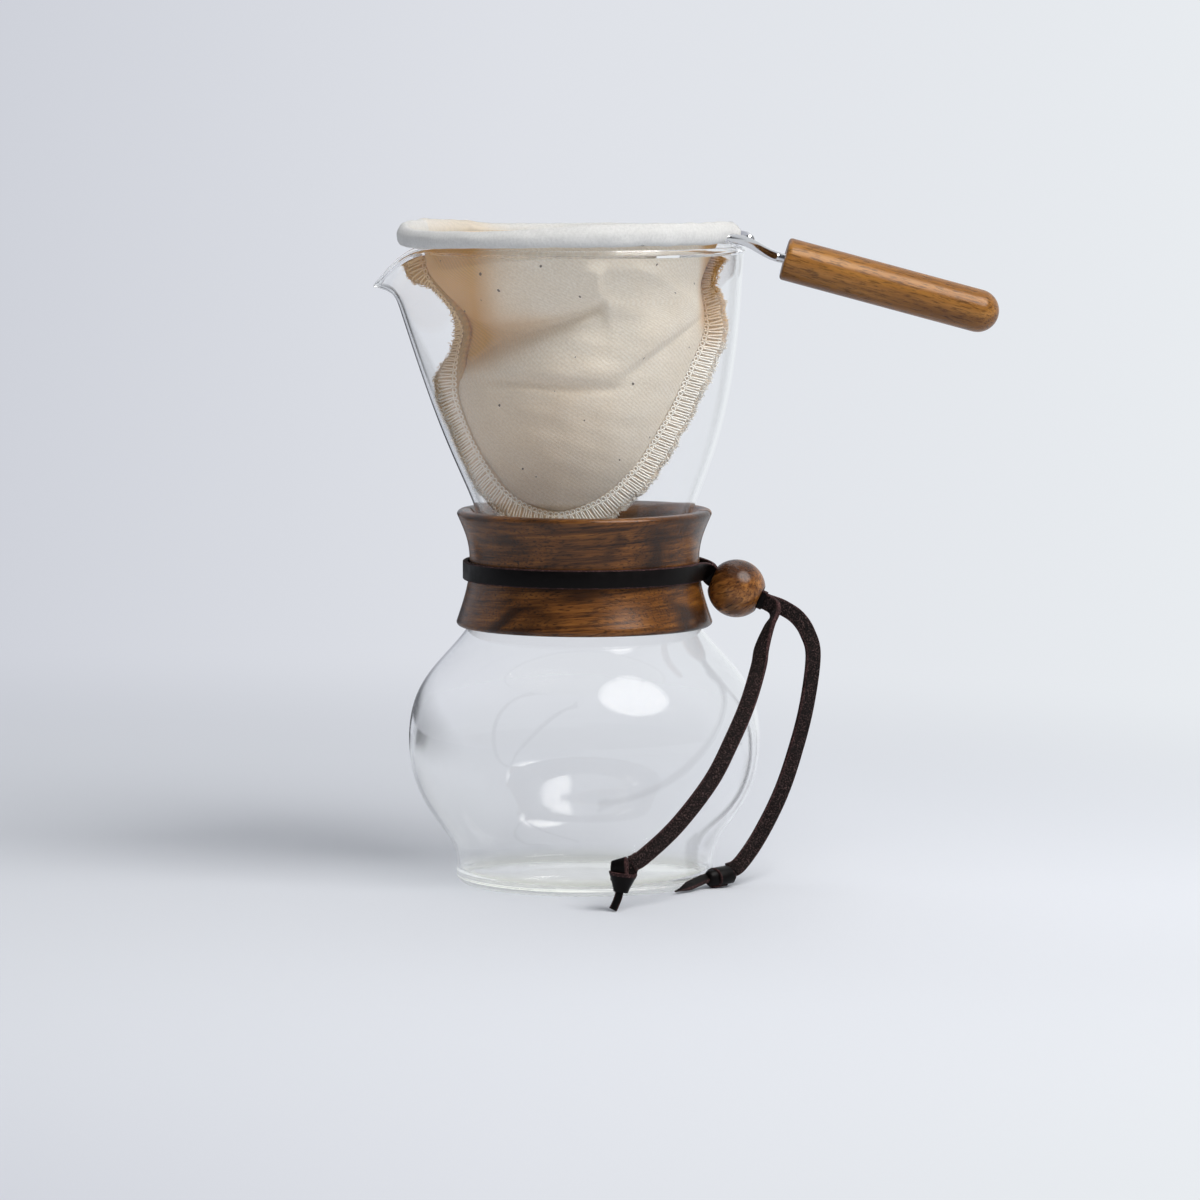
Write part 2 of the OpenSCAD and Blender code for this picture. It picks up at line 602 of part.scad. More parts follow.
glass_carafe();
collar_front();
collar_back();
strap_loop();
wood_bead();
tail_front();
tail_back();
knot_with_end_front();
knot_with_end_back();
wire_hoop();
handle();
hem_casing();
bag_front_panel();
bag_back_panel();
seam_flap();
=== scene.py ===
import math

import bmesh
import bpy
import numpy as np
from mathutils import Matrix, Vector


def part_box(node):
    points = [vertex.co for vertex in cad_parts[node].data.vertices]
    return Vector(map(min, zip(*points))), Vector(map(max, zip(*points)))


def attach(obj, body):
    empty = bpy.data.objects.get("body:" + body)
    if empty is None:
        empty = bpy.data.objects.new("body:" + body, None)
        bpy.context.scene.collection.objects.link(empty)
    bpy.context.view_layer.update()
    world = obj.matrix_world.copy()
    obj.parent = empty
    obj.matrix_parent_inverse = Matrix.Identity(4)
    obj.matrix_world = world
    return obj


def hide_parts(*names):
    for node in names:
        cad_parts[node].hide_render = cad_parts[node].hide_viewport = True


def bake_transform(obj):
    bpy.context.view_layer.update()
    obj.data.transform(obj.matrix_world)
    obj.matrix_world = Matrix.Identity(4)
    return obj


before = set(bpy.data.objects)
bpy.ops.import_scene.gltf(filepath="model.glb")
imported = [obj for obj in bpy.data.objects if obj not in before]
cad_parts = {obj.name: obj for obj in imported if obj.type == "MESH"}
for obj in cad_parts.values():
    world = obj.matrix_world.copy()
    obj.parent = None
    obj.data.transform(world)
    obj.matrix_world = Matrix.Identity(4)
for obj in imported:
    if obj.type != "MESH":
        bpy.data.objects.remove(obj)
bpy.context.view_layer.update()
scene = bpy.context.scene
scene.view_settings.view_transform = "Standard"
MM = 0.001

# Points and meshes, in millimetres


def unit(v):
    v = np.asarray(v, float)
    return v / np.maximum(np.linalg.norm(v, axis=-1, keepdims=True), 1e-9)


def smooth(t, lo=0.0, hi=1.0):
    """0 below lo, 1 above hi, and an S-shaped rise between."""
    u = np.clip((np.asarray(t, float) - lo) / (hi - lo), 0, 1)
    return u * u * (3 - 2 * u)


def bump(d, width):
    return np.exp(-((d / width) ** 2))


def bez(p, n):
    """n points of the cubic curve with the control points p."""
    p, t = np.array(p, float), np.linspace(0, 1, n)[:, None]
    return (1 - t) ** 3 * p[0] + 3 * t * (1 - t) ** 2 * p[1] + 3 * t * t * (1 - t) * p[2] + t**3 * p[3]


def arc(centre, r, start, end, n):
    a = np.radians(np.linspace(start, end, n))
    return np.stack([centre[0] + r * np.cos(a), centre[1] + r * np.sin(a)], 1)


def spline(p, n):
    """Smooth run through the points p, with n steps between each two."""
    p = np.array(p, float)
    q = np.vstack([p[:1], p, p[-1:]])
    out = []
    for i in range(len(p) - 1):
        a, b, c, d = q[i : i + 4]
        for t in np.arange(n) / n:
            out.append(0.5 * (2 * b + (c - a) * t + (2 * a - 5 * b + 4 * c - d) * t**2
                              + (3 * b - a - 3 * c + d) * t**3))
    return np.array(out + [p[-1]])


def length_along(p):
    return np.concatenate([[0], np.cumsum(np.linalg.norm(np.diff(p, axis=0), axis=1))])


def look_up(at, s, rows):
    """Rows given at the lengths s, looked up at other lengths."""
    return np.stack([np.interp(at, s, rows[:, k]) for k in range(rows.shape[1])], -1)


def resample(p, n):
    """n points at equal steps along p."""
    s = length_along(p)
    return look_up(np.linspace(0, s[-1], n), s, p)


def radius_at(z, profile):
    """Radius of a turned profile of (radius, height) points at a height."""
    return np.interp(z, profile[:, 1], profile[:, 0])


def outward(profile):
    """Directions square to a turned profile that goes up."""
    d = np.gradient(profile, axis=0)
    return unit(np.stack([d[:, 1], -d[:, 0]], 1))


def all_round(n):
    return np.linspace(0, 2 * np.pi, n, endpoint=False)


def blur(values, times=1):
    """Values rounded off along their first axis, with both ends kept."""
    v = np.array(values, float)
    for _ in range(times):
        v[1:-1] = 0.25 * v[:-2] + 0.5 * v[1:-1] + 0.25 * v[2:]
    return v


def waves(p, seed, low, high):
    """Smooth noise from sine waves, with wavelengths from low to high."""
    count, full_turn = 10, 6.28
    r = np.random.default_rng(seed)
    total = 0
    for _ in range(count):
        d = unit(r.normal(size=p.shape[-1]))
        long = low * (high / low) ** r.random()
        total = total + np.sin(p @ d * 2 * np.pi / long + full_turn * r.random())
    return total / math.sqrt(count)


def grid(nu, nv, wrap_u=False, wrap_v=False):
    """Faces of a grid of nu rows with nv points each."""
    rows, columns = np.arange(nu if wrap_u else nu - 1), np.arange(nv if wrap_v else nv - 1)
    i, j = np.meshgrid(rows, columns, indexing="ij")
    i2, j2 = (i + 1) % nu, (j + 1) % nv
    return np.stack([i * nv + j, i2 * nv + j, i2 * nv + j2, i * nv + j2], -1).reshape(-1, 4).tolist()


def capped(rows, n):
    """Faces of a tube of rows with n points each, closed at both ends."""
    last = (rows - 1) * n
    return grid(rows, n, wrap_v=True) + [list(range(n)), list(range(last, last + n))]


def join(parts):
    """One mesh from several (points, faces, material numbers) parts."""
    co, faces, index, n = [], [], [], 0
    for c, f, m in parts:
        co.append(c)
        faces += [[i + n for i in face] for face in f]
        index += m if isinstance(m, list) else [m] * len(f)
        n += len(c)
    return np.vstack(co), faces, index


def make(name, node, co, faces, looks, body, index=None, uv=None, tint=None, ride=True):
    """New smooth piece, for a CAD node if one is named. It rides on the body, unless ride is False."""
    me = bpy.data.meshes.new(name)
    me.from_pydata((np.asarray(co, float).reshape(-1, 3) * MM).tolist(), [], faces)
    for look in looks if isinstance(looks, list) else [looks]:
        me.materials.append(look)
    if index is not None:
        me.polygons.foreach_set("material_index", np.asarray(index, np.int32))
    if uv is not None:
        loops = np.zeros(len(me.loops), np.int32)
        me.loops.foreach_get("vertex_index", loops)
        per_loop = np.asarray(uv, float).reshape(-1, 2)[loops]
        me.uv_layers.new(name="UVMap").data.foreach_set("uv", per_loop.ravel())
    if tint is not None:
        values = me.attributes.new("tint", "FLOAT", "POINT").data
        values.foreach_set("value", np.asarray(tint, np.float32).ravel())
    bm = bmesh.new()
    bm.from_mesh(me)
    bmesh.ops.recalc_face_normals(bm, faces=bm.faces)
    bm.to_mesh(me)
    bm.free()
    me.polygons.foreach_set("use_smooth", [True] * len(me.polygons))
    ob = bpy.data.objects.new(name, me)
    scene.collection.objects.link(ob)
    if ride:
        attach(ob, body)
    if node:
        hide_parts(node)
    return ob


def tube(p, r, n):
    """Round wire along p, with its section carried along without twist."""
    p = np.asarray(p, float)
    tan = unit(np.gradient(p, axis=0))
    a = np.zeros_like(p)
    up = np.array([0, 0, 1.0])
    a[0] = unit(up - (up @ tan[0]) * tan[0])
    for i in range(1, len(p)):
        a[i] = unit(a[i - 1] - (a[i - 1] @ tan[i]) * tan[i])
    b = np.cross(tan, a)
    w = all_round(n)[None, :, None]
    co = p[:, None] + r * (np.cos(w) * a[:, None] + np.sin(w) * b[:, None])
    return co.reshape(-1, 3), capped(len(p), n)


def threads(paths, r, n):
    """Many thin threads with n sides as one mesh: paths is an array of (threads, points, 3)."""
    aside = np.array([0.31, 0.83, 0.46])
    t = unit(np.gradient(paths, axis=1))
    a = unit(np.cross(t, aside))
    b = np.cross(t, a)
    w = all_round(n)[:, None]
    co = paths[:, :, None] + r * (np.cos(w) * a[:, :, None] + np.sin(w) * b[:, :, None])
    one = np.array(grid(paths.shape[1], n, wrap_v=True))
    size = paths.shape[1] * n
    faces = (np.arange(len(paths))[:, None, None] * size + one[None]).reshape(-1, 4).tolist()
    for k in range(len(paths)):
        faces += [list(range(k * size, k * size + n)), list(range((k + 1) * size - n, (k + 1) * size))]
    return co.reshape(-1, 3), faces


FACE, BACK, EDGE = 0, 1, 2


def band(p, across, w, t):
    """Flat strap along p, of width w and thickness t. Its faces are numbered FACE, BACK or EDGE."""
    corner_r, corner_points = 0.35, 4
    p = np.asarray(p, float)
    tan = unit(np.gradient(p, axis=0))
    across = np.broadcast_to(np.asarray(across, float), p.shape)
    across = unit(across - (across * tan).sum(1)[:, None] * tan)
    off = np.cross(tan, across)
    x, z = w / 2 - corner_r, t / 2 - corner_r
    centres = [(x, z), (-x, z), (-x, -z), (x, -z)]
    sect = np.vstack([arc(c, corner_r, 90 * k, 90 * k + 90, corner_points) for k, c in enumerate(centres)])
    co = p[:, None] + sect[None, :, :1] * across[:, None] + sect[None, :, 1:] * off[:, None]
    side = np.full(len(sect), EDGE)
    side[corner_points - 1], side[3 * corner_points - 1] = FACE, BACK
    return co.reshape(-1, 3), capped(len(p), len(sect)), np.tile(side, len(p) - 1).tolist() + [EDGE, EDGE]


def one_sided(strip, side):
    """A band whose face and back have the same material."""
    co, faces, index = strip
    return co, faces, [EDGE if m == EDGE else side for m in index]


def lathe(profile, n, base, axis, flat=1.0, side=(1, 0, 0)):
    """Closed turned body: profile is a closed loop of (radius, height)."""
    z = unit(axis)
    x = np.asarray(side, float)
    x = unit(x - (x @ z) * z)
    y = np.cross(z, x)
    w = all_round(n)
    profile = np.array(profile, float)
    ring = np.cos(w)[:, None] * x + flat * np.sin(w)[:, None] * y
    co = np.array(base, float) + profile[None, :, :1] * ring[:, None] + profile[None, :, 1:] * z
    return co.reshape(-1, 3), grid(n, len(profile), wrap_u=True, wrap_v=True)


# Materials


class Look:
    """Node material, or the world. Inputs are given by name, or by number as i0, i1 and so on."""

    def __init__(self, name, world=False):
        self.data = (bpy.data.worlds if world else bpy.data.materials).new(name)
        self.data.use_nodes = True
        self.tree = self.data.node_tree
        self.tree.nodes.clear()
        self.end = "OutputWorld" if world else "OutputMaterial"

    def add(self, kind, props=None, **ins):
        n = self.tree.nodes.new("ShaderNode" + kind)
        for k, v in (props or {}).items():
            setattr(n, k, v)
        for k, v in ins.items():
            by_number = k[0] == "i" and k[1:].isdigit()
            socket = n.inputs[int(k[1:])] if by_number else n.inputs[k.replace("_", " ")]
            if isinstance(v, bpy.types.NodeSocket):
                self.tree.links.new(v, socket)
            else:
                socket.default_value = v
        return n

    def place(self, turn=(0, 0, 0), uv=False):
        source = self.add("TexCoord").outputs["UV" if uv else "Object"]
        turn = [math.radians(a) for a in turn]
        return self.add("Mapping", Vector=source, Rotation=turn).outputs[0]

    def stretch(self, at, scale):
        return self.add("Mapping", Vector=at, Scale=scale).outputs[0]

    def parts(self, vector):
        return self.add("SeparateXYZ", Vector=vector).outputs

    def length(self, vector):
        return self.add("VectorMath", {"operation": "LENGTH"}, i0=vector).outputs["Value"]

    def noise(self, at, scale, detail, rough=0.5, distort=0.0):
        return self.add("TexNoise", Vector=at, Scale=scale, Detail=detail, Roughness=rough,
                        Distortion=distort).outputs[0]

    def bands(self, at, along, **ins):
        props = {"wave_type": "BANDS", "bands_direction": along}
        return self.add("TexWave", props, Vector=at, **ins).outputs["Fac"]

    def ramp(self, value, *stops):
        n = self.add("ValToRGB", Fac=value)
        e = n.color_ramp.elements
        while len(e) < len(stops):
            e.new(0.5)
        for x, (at, c) in zip(e, stops):
            x.position = at
            x.color = (*c, 1) if isinstance(c, (tuple, list)) else (c, c, c, 1)
        return n.outputs[0]

    def rise(self, value, lo, hi):
        """0 below lo, 1 above hi, and an S-shaped rise between."""
        return self.add("MapRange", {"interpolation_type": "SMOOTHSTEP"}, Value=value, From_Min=lo,
                        From_Max=hi).outputs[0]

    def mix(self, fac, a, b):
        a, b = [(*c, 1) if isinstance(c, tuple) and len(c) == 3 else c for c in (a, b)]
        return self.add("Mix", {"data_type": "RGBA"}, i0=fac, i6=a, i7=b).outputs[2]

    def math(self, op, a, b=0.0):
        return self.add("Math", {"operation": op}, i0=a, i1=b).outputs[0]

    def times(self, a, b):
        return self.math("MULTIPLY", a, b)

    def plus(self, a, b):
        return self.math("ADD", a, b)

    def tint(self):
        return self.add("Attribute", {"attribute_name": "tint"}).outputs["Fac"]

    def ray(self):
        return self.add("LightPath").outputs

    def bump(self, height, strength, distance):
        return self.add("Bump", Height=height, Strength=strength, Distance=distance).outputs[0]

    def shader(self, kind, **ins):
        return self.add(kind, **ins).outputs[0]

    def bsdf(self, **ins):
        return self.shader("BsdfPrincipled", **ins)

    def blend(self, share, first, second):
        return self.shader("MixShader", i0=share, i1=first, i2=second)

    def out(self, shader):
        self.tree.links.new(shader, self.add(self.end).inputs["Surface"])
        return self.data


def scaled(colour, share):
    return tuple(share * c for c in colour)


def glass_look():
    """Clear glass with a warm foot. Light goes straight through, and so do rays caught inside the wall."""
    k = Look("clear_glass")
    height = k.parts(k.place())["Z"]
    tone = k.ramp(k.times(height, 100.0), (0.25, (0.975, 0.97, 0.89)), (0.6, (0.997, 0.998, 0.997)))
    body = k.bsdf(Base_Color=tone, Roughness=0.0, IOR=1.47, Transmission_Weight=1.0)
    through = k.shader("BsdfTransparent", Color=(0.985, 0.988, 0.988, 1))
    ray = k.ray()
    light = k.math("MAXIMUM", ray["Is Shadow Ray"], ray["Is Diffuse Ray"])
    caught = k.math("GREATER_THAN", ray["Glossy Depth"], 2.5)
    return k.out(k.blend(k.math("MAXIMUM", light, caught), body, through))


def wood_look(name, turn, colours, figure=(10, 60, 700), patch_at=(30, 45, 60), fine=(180, 1900, 1900),
              bend=0.35, rough=(0.3, 0.5)):
    """Oiled wood with its grain along the local X of the turned coordinates."""
    k = Look(name)
    dark, mid, light = colours
    at = k.place(turn=turn)
    streak = k.noise(k.stretch(at, figure), 1.0, 5.0, 0.6, bend)
    lines = k.noise(k.stretch(at, scaled(figure, 3.2)), 1.0, 3.0, 0.6, bend)
    patch = k.noise(k.stretch(at, patch_at), 1.0, 2.0, 0.5, 0.6)
    pores = k.noise(k.stretch(at, fine), 1.0, 3.0, 0.6)
    base = k.ramp(k.plus(k.times(streak, 0.6), k.times(lines, 0.4)), (0.34, dark), (0.5, mid), (0.68, light))
    base = k.mix(k.ramp(patch, (0.4, 0.9), (0.54, 0.0)), base, dark)
    pits = k.ramp(pores, (0.36, 1.0), (0.5, 0.0))
    base = k.mix(k.times(pits, 0.7), base, scaled(dark, 0.35))
    shine = k.ramp(k.plus(k.times(pores, 0.6), k.times(patch, 0.4)), (0.35, rough[0]), (0.65, rough[1]))
    dents = k.noise(at, 700.0, 2.0)
    height = k.plus(k.math("SUBTRACT", k.times(streak, 0.3), pits), k.times(dents, 0.8))
    return k.out(k.bsdf(Base_Color=base, Roughness=shine, Normal=k.bump(height, 0.4, 0.0002), IOR=1.45,
                        Specular_IOR_Level=0.12, Coat_Weight=0.5, Coat_Roughness=0.25))


def leather_look(name, colour, speck, rough, grain, speck_at=(0.62, 0.75), sheen=0.0, size=2600.0, gloss=0.2):
    k = Look(name)
    at = k.place()
    fine = k.noise(at, size, 3.0, 0.6)
    broad = k.noise(at, 420.0, 3.0, 0.55)
    base = k.mix(k.ramp(fine, (speck_at[0], 0.0), (speck_at[1], 1.0)), colour, speck)
    base = k.mix(k.ramp(broad, (0.35, 0.5), (0.6, 0.0)), base, scaled(colour, 0.45))
    shine = k.ramp(broad, (0.3, rough - 0.08), (0.7, rough + 0.08))
    height = k.plus(fine, k.times(broad, 0.6))
    return k.out(k.bsdf(Base_Color=base, Roughness=shine, Normal=k.bump(height, grain, 0.0002),
                        Sheen_Weight=sheen, Sheen_Roughness=0.5, Sheen_Tint=(0.5, 0.4, 0.4, 1),
                        Specular_IOR_Level=gloss))


def cloth_look(name, colour, shade, gold, specks=False, twill=0.2, uv=True, through=0.25, grainy=0.25):
    """Brushed cotton twill. The attribute tint says how far gold is painted on: a painted glow of warm light
    from behind, and painted warm shade.
    """
    k = Look(name)
    at = k.place(uv=uv)
    rib = k.bands(k.place(uv=uv, turn=(0, 0, 58)), "X", Scale=330.0, Distortion=2.2, Detail=2.0,
                  Detail_Scale=1.6)
    cross = k.bands(at, "Y", Scale=520.0, Distortion=2.0, Detail=2.0)
    nap = k.noise(at, 1900.0, 4.0, 0.65)
    broad = k.noise(at, 120.0, 3.0)
    base = k.mix(k.times(k.ramp(rib, (0.1, 1.0), (0.7, 0.0)), twill), colour, shade)
    base = k.mix(k.ramp(nap, (0.3, 0.45), (0.6, 0.0)), base, shade)
    base = k.mix(k.ramp(broad, (0.35, 0.3), (0.65, 0.0)), base, shade)
    grain = k.ramp(k.noise(at, 1200.0, 3.0, 0.65), (0.34, grainy), (0.6, 0.0))
    base = k.mix(grain, base, scaled(shade, 0.72))
    # Painted glow and painted warm shade: gold mixed in by the tint attribute.
    base = k.mix(k.tint(), base, k.mix(k.times(rib, 0.5), gold, scaled(gold, 0.72)))
    if specks:
        cells = k.add("TexVoronoi", {"voronoi_dimensions": "2D"}, Vector=at, Scale=72.0, Randomness=1.0)
        size = k.times(k.ramp(k.noise(at, 60.0, 1.0), (0.42, 0.0), (0.6, 1.0)), 0.036)
        near = k.math("LESS_THAN", cells.outputs["Distance"], size)
        base = k.mix(k.times(near, 0.9), base, (0.06, 0.03, 0.015))
    height = k.plus(k.times(rib, 0.4), k.plus(k.times(cross, 0.2), nap))
    surface = k.bsdf(Base_Color=base, Roughness=0.95, Normal=k.bump(height, 0.35, 0.0003), Sheen_Weight=0.25,
                     Sheen_Roughness=0.6, Specular_IOR_Level=0.15)
    return k.out(k.blend(through, surface, k.shader("BsdfTranslucent", Color=base)))


def thread_look():
    k = Look("cotton_thread")
    twist = k.noise(k.place(), 2200.0, 2.0)
    base = k.ramp(twist, (0.35, (0.94, 0.88, 0.78)), (0.6, (0.98, 0.95, 0.89)))
    # Painted warm shade and painted glow: gold mixed in by the tint attribute.
    base = k.mix(k.tint(), base, (0.8, 0.52, 0.22))
    return k.out(k.bsdf(Base_Color=base, Roughness=0.85, Normal=k.bump(twist, 0.3, 0.0002),
                        Specular_IOR_Level=0.2))


def steel_look():
    k = Look("drawn_steel")
    lines = k.noise(k.place(), 400.0, 3.0, 0.6)
    return k.out(k.bsdf(Base_Color=(0.62, 0.62, 0.63, 1), Metallic=1.0, Normal=k.bump(lines, 0.05, 0.0001),
                        Roughness=k.ramp(lines, (0.35, 0.12), (0.65, 0.22))))


SHANK_DROP = 15.1
glass = glass_look()
collar_wood = wood_look(
    "oiled_walnut", (0, 4, 0), [(0.016, 0.005, 0.0012), (0.13, 0.045, 0.008), (0.27, 0.104, 0.02)])
bead_wood = wood_look(
    "bead_walnut", (0, 24, 30), [(0.04, 0.012, 0.003), (0.2, 0.073, 0.016), (0.44, 0.19, 0.05)],
    figure=(30, 330, 330), patch_at=(60, 90, 90), rough=(0.22, 0.42))
handle_wood = wood_look(
    "handle_wood", (0, -SHANK_DROP, 0), [(0.15, 0.056, 0.01), (0.27, 0.112, 0.021), (0.4, 0.19, 0.045)],
    figure=(14, 330, 330), patch_at=(10, 60, 60), fine=(260, 1700, 1700), bend=0.3, rough=(0.26, 0.46))
leather = leather_look("smooth_leather", (0.003, 0.0022, 0.0022), (0.008, 0.006, 0.006), rough=0.4,
                       grain=0.12, gloss=0.1)
suede = leather_look("suede_leather", (0.004, 0.0026, 0.0025), (0.08, 0.05, 0.047), rough=0.9, grain=0.6,
                     speck_at=(0.5, 0.68), sheen=0.02, size=2200.0)
cut_edge = leather_look("cut_leather", (0.026, 0.012, 0.012), (0.12, 0.062, 0.06), rough=0.85, grain=0.4,
                        speck_at=(0.5, 0.66), size=1900.0)
cream = cloth_look("cream_twill", (0.98, 0.93, 0.84), (0.85, 0.745, 0.595), (0.74, 0.44, 0.14), specks=True,
                   twill=0.42, through=0.32, grainy=0.38)
# Painted shade: the flap's twill is a darker, browner copy of the cream twill, for the shade between the
# overlock threads.
shaded_flap_cloth = cloth_look("flap_twill_painted_shade", (0.93, 0.81, 0.66), (0.8, 0.64, 0.48), (0.78, 0.46, 0.14), through=0.4)
white = cloth_look("white_flannel", (0.82, 0.815, 0.8), (0.68, 0.675, 0.66), (0.8, 0.66, 0.48), twill=0.15,
                   uv=False, through=0.15)
thread = thread_look()
steel = steel_look()

# Camera, floor and light, in metres

CAM_PLACE = (0.004718, -1.914098, 0.269155)
CAM_DROP, CAM_AWAY = 5.479, 1.914
FLOOR_HALF = 20
FLOOR_TONE = (0.672, 0.692, 0.74)
UMBRELLA, UMBRELLA_R = (0.58, -0.572, 0.98), 0.47

cam = bpy.data.objects.new("camera", bpy.data.cameras.new("camera"))
scene.collection.objects.link(cam)
cam.location = CAM_PLACE
cam.rotation_euler = (math.radians(90 - CAM_DROP), 0, 0)
cam.data.lens, cam.data.sensor_width = 190.24, 36
cam.data.clip_start, cam.data.clip_end = 0.1, 60
scene.camera = cam


def backdrop(k, sideways):
    """Tone of the paper behind the object, by its direction to the side: a painted falloff of light, darker
    to the left and lighter to the right.
    """
    return k.ramp(k.plus(k.times(sideways, 4.0), 0.5), (0.05, (0.6, 0.62, 0.68)), (0.45, (0.73, 0.75, 0.8)),
                  (0.95, (0.82, 0.85, 0.88)))


def bent_ray(k):
    """1 for rays off gloss and through glass."""
    ray = k.ray()
    return k.math("MAXIMUM", ray["Is Glossy Ray"], ray["Is Transmission Ray"])


def seen_ray(k):
    """1 for rays that show a background: from the camera, off gloss and through glass."""
    return k.math("MAXIMUM", k.ray()["Is Camera Ray"], bent_ray(k))


def dark_strip(k, x, y, wide=True):
    """1 behind the object on its left, where a black card edges the glass: one wide band or two narrow."""
    turn = k.plus(k.times(x, 0.5), 0.5)
    inner = [(0.38, 1.0), (0.43, 0.0)]
    if wide:
        stops = [(0.2, 0.0), (0.26, 1.0)] + inner
    else:
        stops = [(0.06, 0.0), (0.09, 1.0), (0.17, 1.0), (0.2, 0.0), (0.3, 0.0), (0.33, 1.0)] + inner
    return k.times(k.ramp(turn, *stops), k.math("GREATER_THAN", y, 0.0))


def floor_look():
    """Pale paper, lit near the object. Further off it glows with the backdrop's tone, with its painted
    falloff of light.
    """
    k = Look("paper_floor")
    at = k.place()
    place = k.parts(at)
    x, y = place["X"], place["Y"]
    away = k.length(at)
    tooth = k.noise(at, 900.0, 3.0, 0.6)
    # Painted light: the paper a little lighter to the right of and behind the object.
    painted_light_right_behind = k.times(k.rise(x, 0.02, 0.09), k.rise(y, -0.22, 0.0))
    tone = k.mix(painted_light_right_behind, FLOOR_TONE, scaled(FLOOR_TONE, 1.1))
    base = k.mix(k.ramp(tooth, (0.3, 0.1), (0.7, 0.0)), tone, scaled(FLOOR_TONE, 0.92))
    paper = k.shader("BsdfDiffuse", Color=base, Normal=k.bump(tooth, 0.05, 0.0002))
    sideways = k.math("DIVIDE", x, k.math("MAXIMUM", k.plus(y, CAM_AWAY), 0.3))
    far = k.shader("Emission", Color=backdrop(k, sideways))
    far_share = k.rise(k.plus(away, k.times(x, 0.35)), 0.15, 0.65)
    seen = k.blend(k.times(far_share, seen_ray(k)), paper, far)
    toward, distant = k.math("DIVIDE", x, away), k.rise(away, 0.8, 1.2)
    near_strip = k.times(k.math("SUBTRACT", 1.0, distant), dark_strip(k, toward, y, wide=False))
    strip = k.plus(k.times(distant, dark_strip(k, toward, y)), near_strip)
    card = k.shader("Emission", Color=(0.03, 0.032, 0.036, 1))
    return k.out(k.blend(k.times(k.times(k.rise(away, 0.25, 0.45), strip), bent_ray(k)), seen, card))


def umbrella_look():
    """Ribbed white umbrella that only gloss shows."""
    k = Look("white_umbrella")
    at = k.place()
    place = k.parts(at)
    angle = k.math("ARCTAN2", place["Y"], place["X"])
    rib = k.math("ABSOLUTE", k.math("SINE", k.times(angle, 4.0)))
    glow = k.times(k.ramp(rib, (0.03, 0.5), (0.3, 1.0)),
                   k.ramp(k.length(at), (0.02, 0.8), (0.12, 1.0), (0.42, 0.85)))
    ray = k.ray()
    power = k.math("SUBTRACT", 10.0, k.times(ray["Is Singular Ray"], 7.5))
    light = k.shader("Emission", Color=(1, 0.995, 0.985, 1), Strength=k.times(glow, power))
    return k.out(k.blend(ray["Is Glossy Ray"], k.shader("BsdfTransparent"), light))


def studio_world():
    """Even light. Gloss and glass show the backdrop, the black card and a dimmer room in front."""
    k = Look("studio", world=True)
    side = k.parts(k.add("TexCoord").outputs["Generated"])
    paper = backdrop(k, k.math("DIVIDE", side["X"], k.math("MAXIMUM", side["Y"], 0.15)))
    level = k.ramp(side["Z"], (0.02, 1.0), (0.14, 0.0))
    card = k.times(dark_strip(k, side["X"], side["Y"]), level)
    room = k.mix(card, paper, (0.02, 0.022, 0.026))
    front = k.ramp(k.plus(k.times(side["Y"], 0.5), 0.5), (0.42, 1.0), (0.56, 0.0))
    ray = k.ray()
    dim = k.mix(ray["Is Singular Ray"], (0.03, 0.031, 0.033), (0.55, 0.56, 0.58))
    room = k.mix(k.times(front, 0.9), room, dim)
    room = k.mix(ray["Is Camera Ray"], room, paper)
    ambient = k.shader("Background", Color=(0.93, 0.96, 1.0, 1), Strength=0.43)
    shown = k.shader("Background", Color=room, Strength=1.0)
    return k.out(k.blend(seen_ray(k), ambient, shown))


def stage_face(name, points, look):
    """A flat face of the set, which isn't part of the object."""
    me = bpy.data.meshes.new(name)
    me.from_pydata(points, [], [list(range(len(points)))])
    me.materials.append(look)
    ob = bpy.data.objects.new(name, me)
    scene.collection.objects.link(ob)
    return ob


def lamp(name, size, place, target, power, colour=(1, 1, 1)):
    data = bpy.data.lights.new(name, "AREA")
    data.shape, data.size, data.energy, data.color = "DISK", size, power, colour
    ob = bpy.data.objects.new(name, data)
    scene.collection.objects.link(ob)
    ob.location = place
    ob.rotation_euler = (Vector(target) - Vector(place)).to_track_quat("-Z", "Y").to_euler()
    return ob


corners = [(-1, -1), (1, -1), (1, 1), (-1, 1)]
stage_face("floor", [(FLOOR_HALF * x, FLOOR_HALF * y, 0) for x, y in corners], floor_look())
key = lamp("umbrella", 0.84, UMBRELLA, (0.016, -0.046, 0.061), 14.0, (1.0, 0.985, 0.955))
key.visible_glossy = False
lamp("top", 0.8, (-0.2, 0.6, 1.3), (0, 0, 0.1), 2.0)
disc = [(UMBRELLA_R * np.cos(a), UMBRELLA_R * np.sin(a), 0) for a in all_round(64)]
umbrella = stage_face("umbrella_disc", disc, umbrella_look())
umbrella.location, umbrella.rotation_euler = UMBRELLA, key.rotation_euler
scene.world = studio_world()

# Leather strap, tails and knots. A route's rows hold a place and the direction across the strap

STRAP_W, STRAP_T, STRAP_Z, STRAND_END = 5.2, 1.5, 95.0, 9.3
STRAND_OFF = STRAP_T / 2 + 0.05
BEAD_TILT, BEAD_TURN = math.radians(23.6), math.radians(8)
bead_low, bead_high = [np.array(c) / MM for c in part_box("wood_bead")]
bead_mid = (bead_low + bead_high) / 2
bead_axis = np.array([math.cos(BEAD_TILT) * math.cos(BEAD_TURN), -math.cos(BEAD_TILT) * math.sin(BEAD_TURN),
                      -math.sin(BEAD_TILT)])
bead_side = unit(np.cross(bead_axis, [0, 0, 1]))
bead_up = np.cross(bead_side, bead_axis)

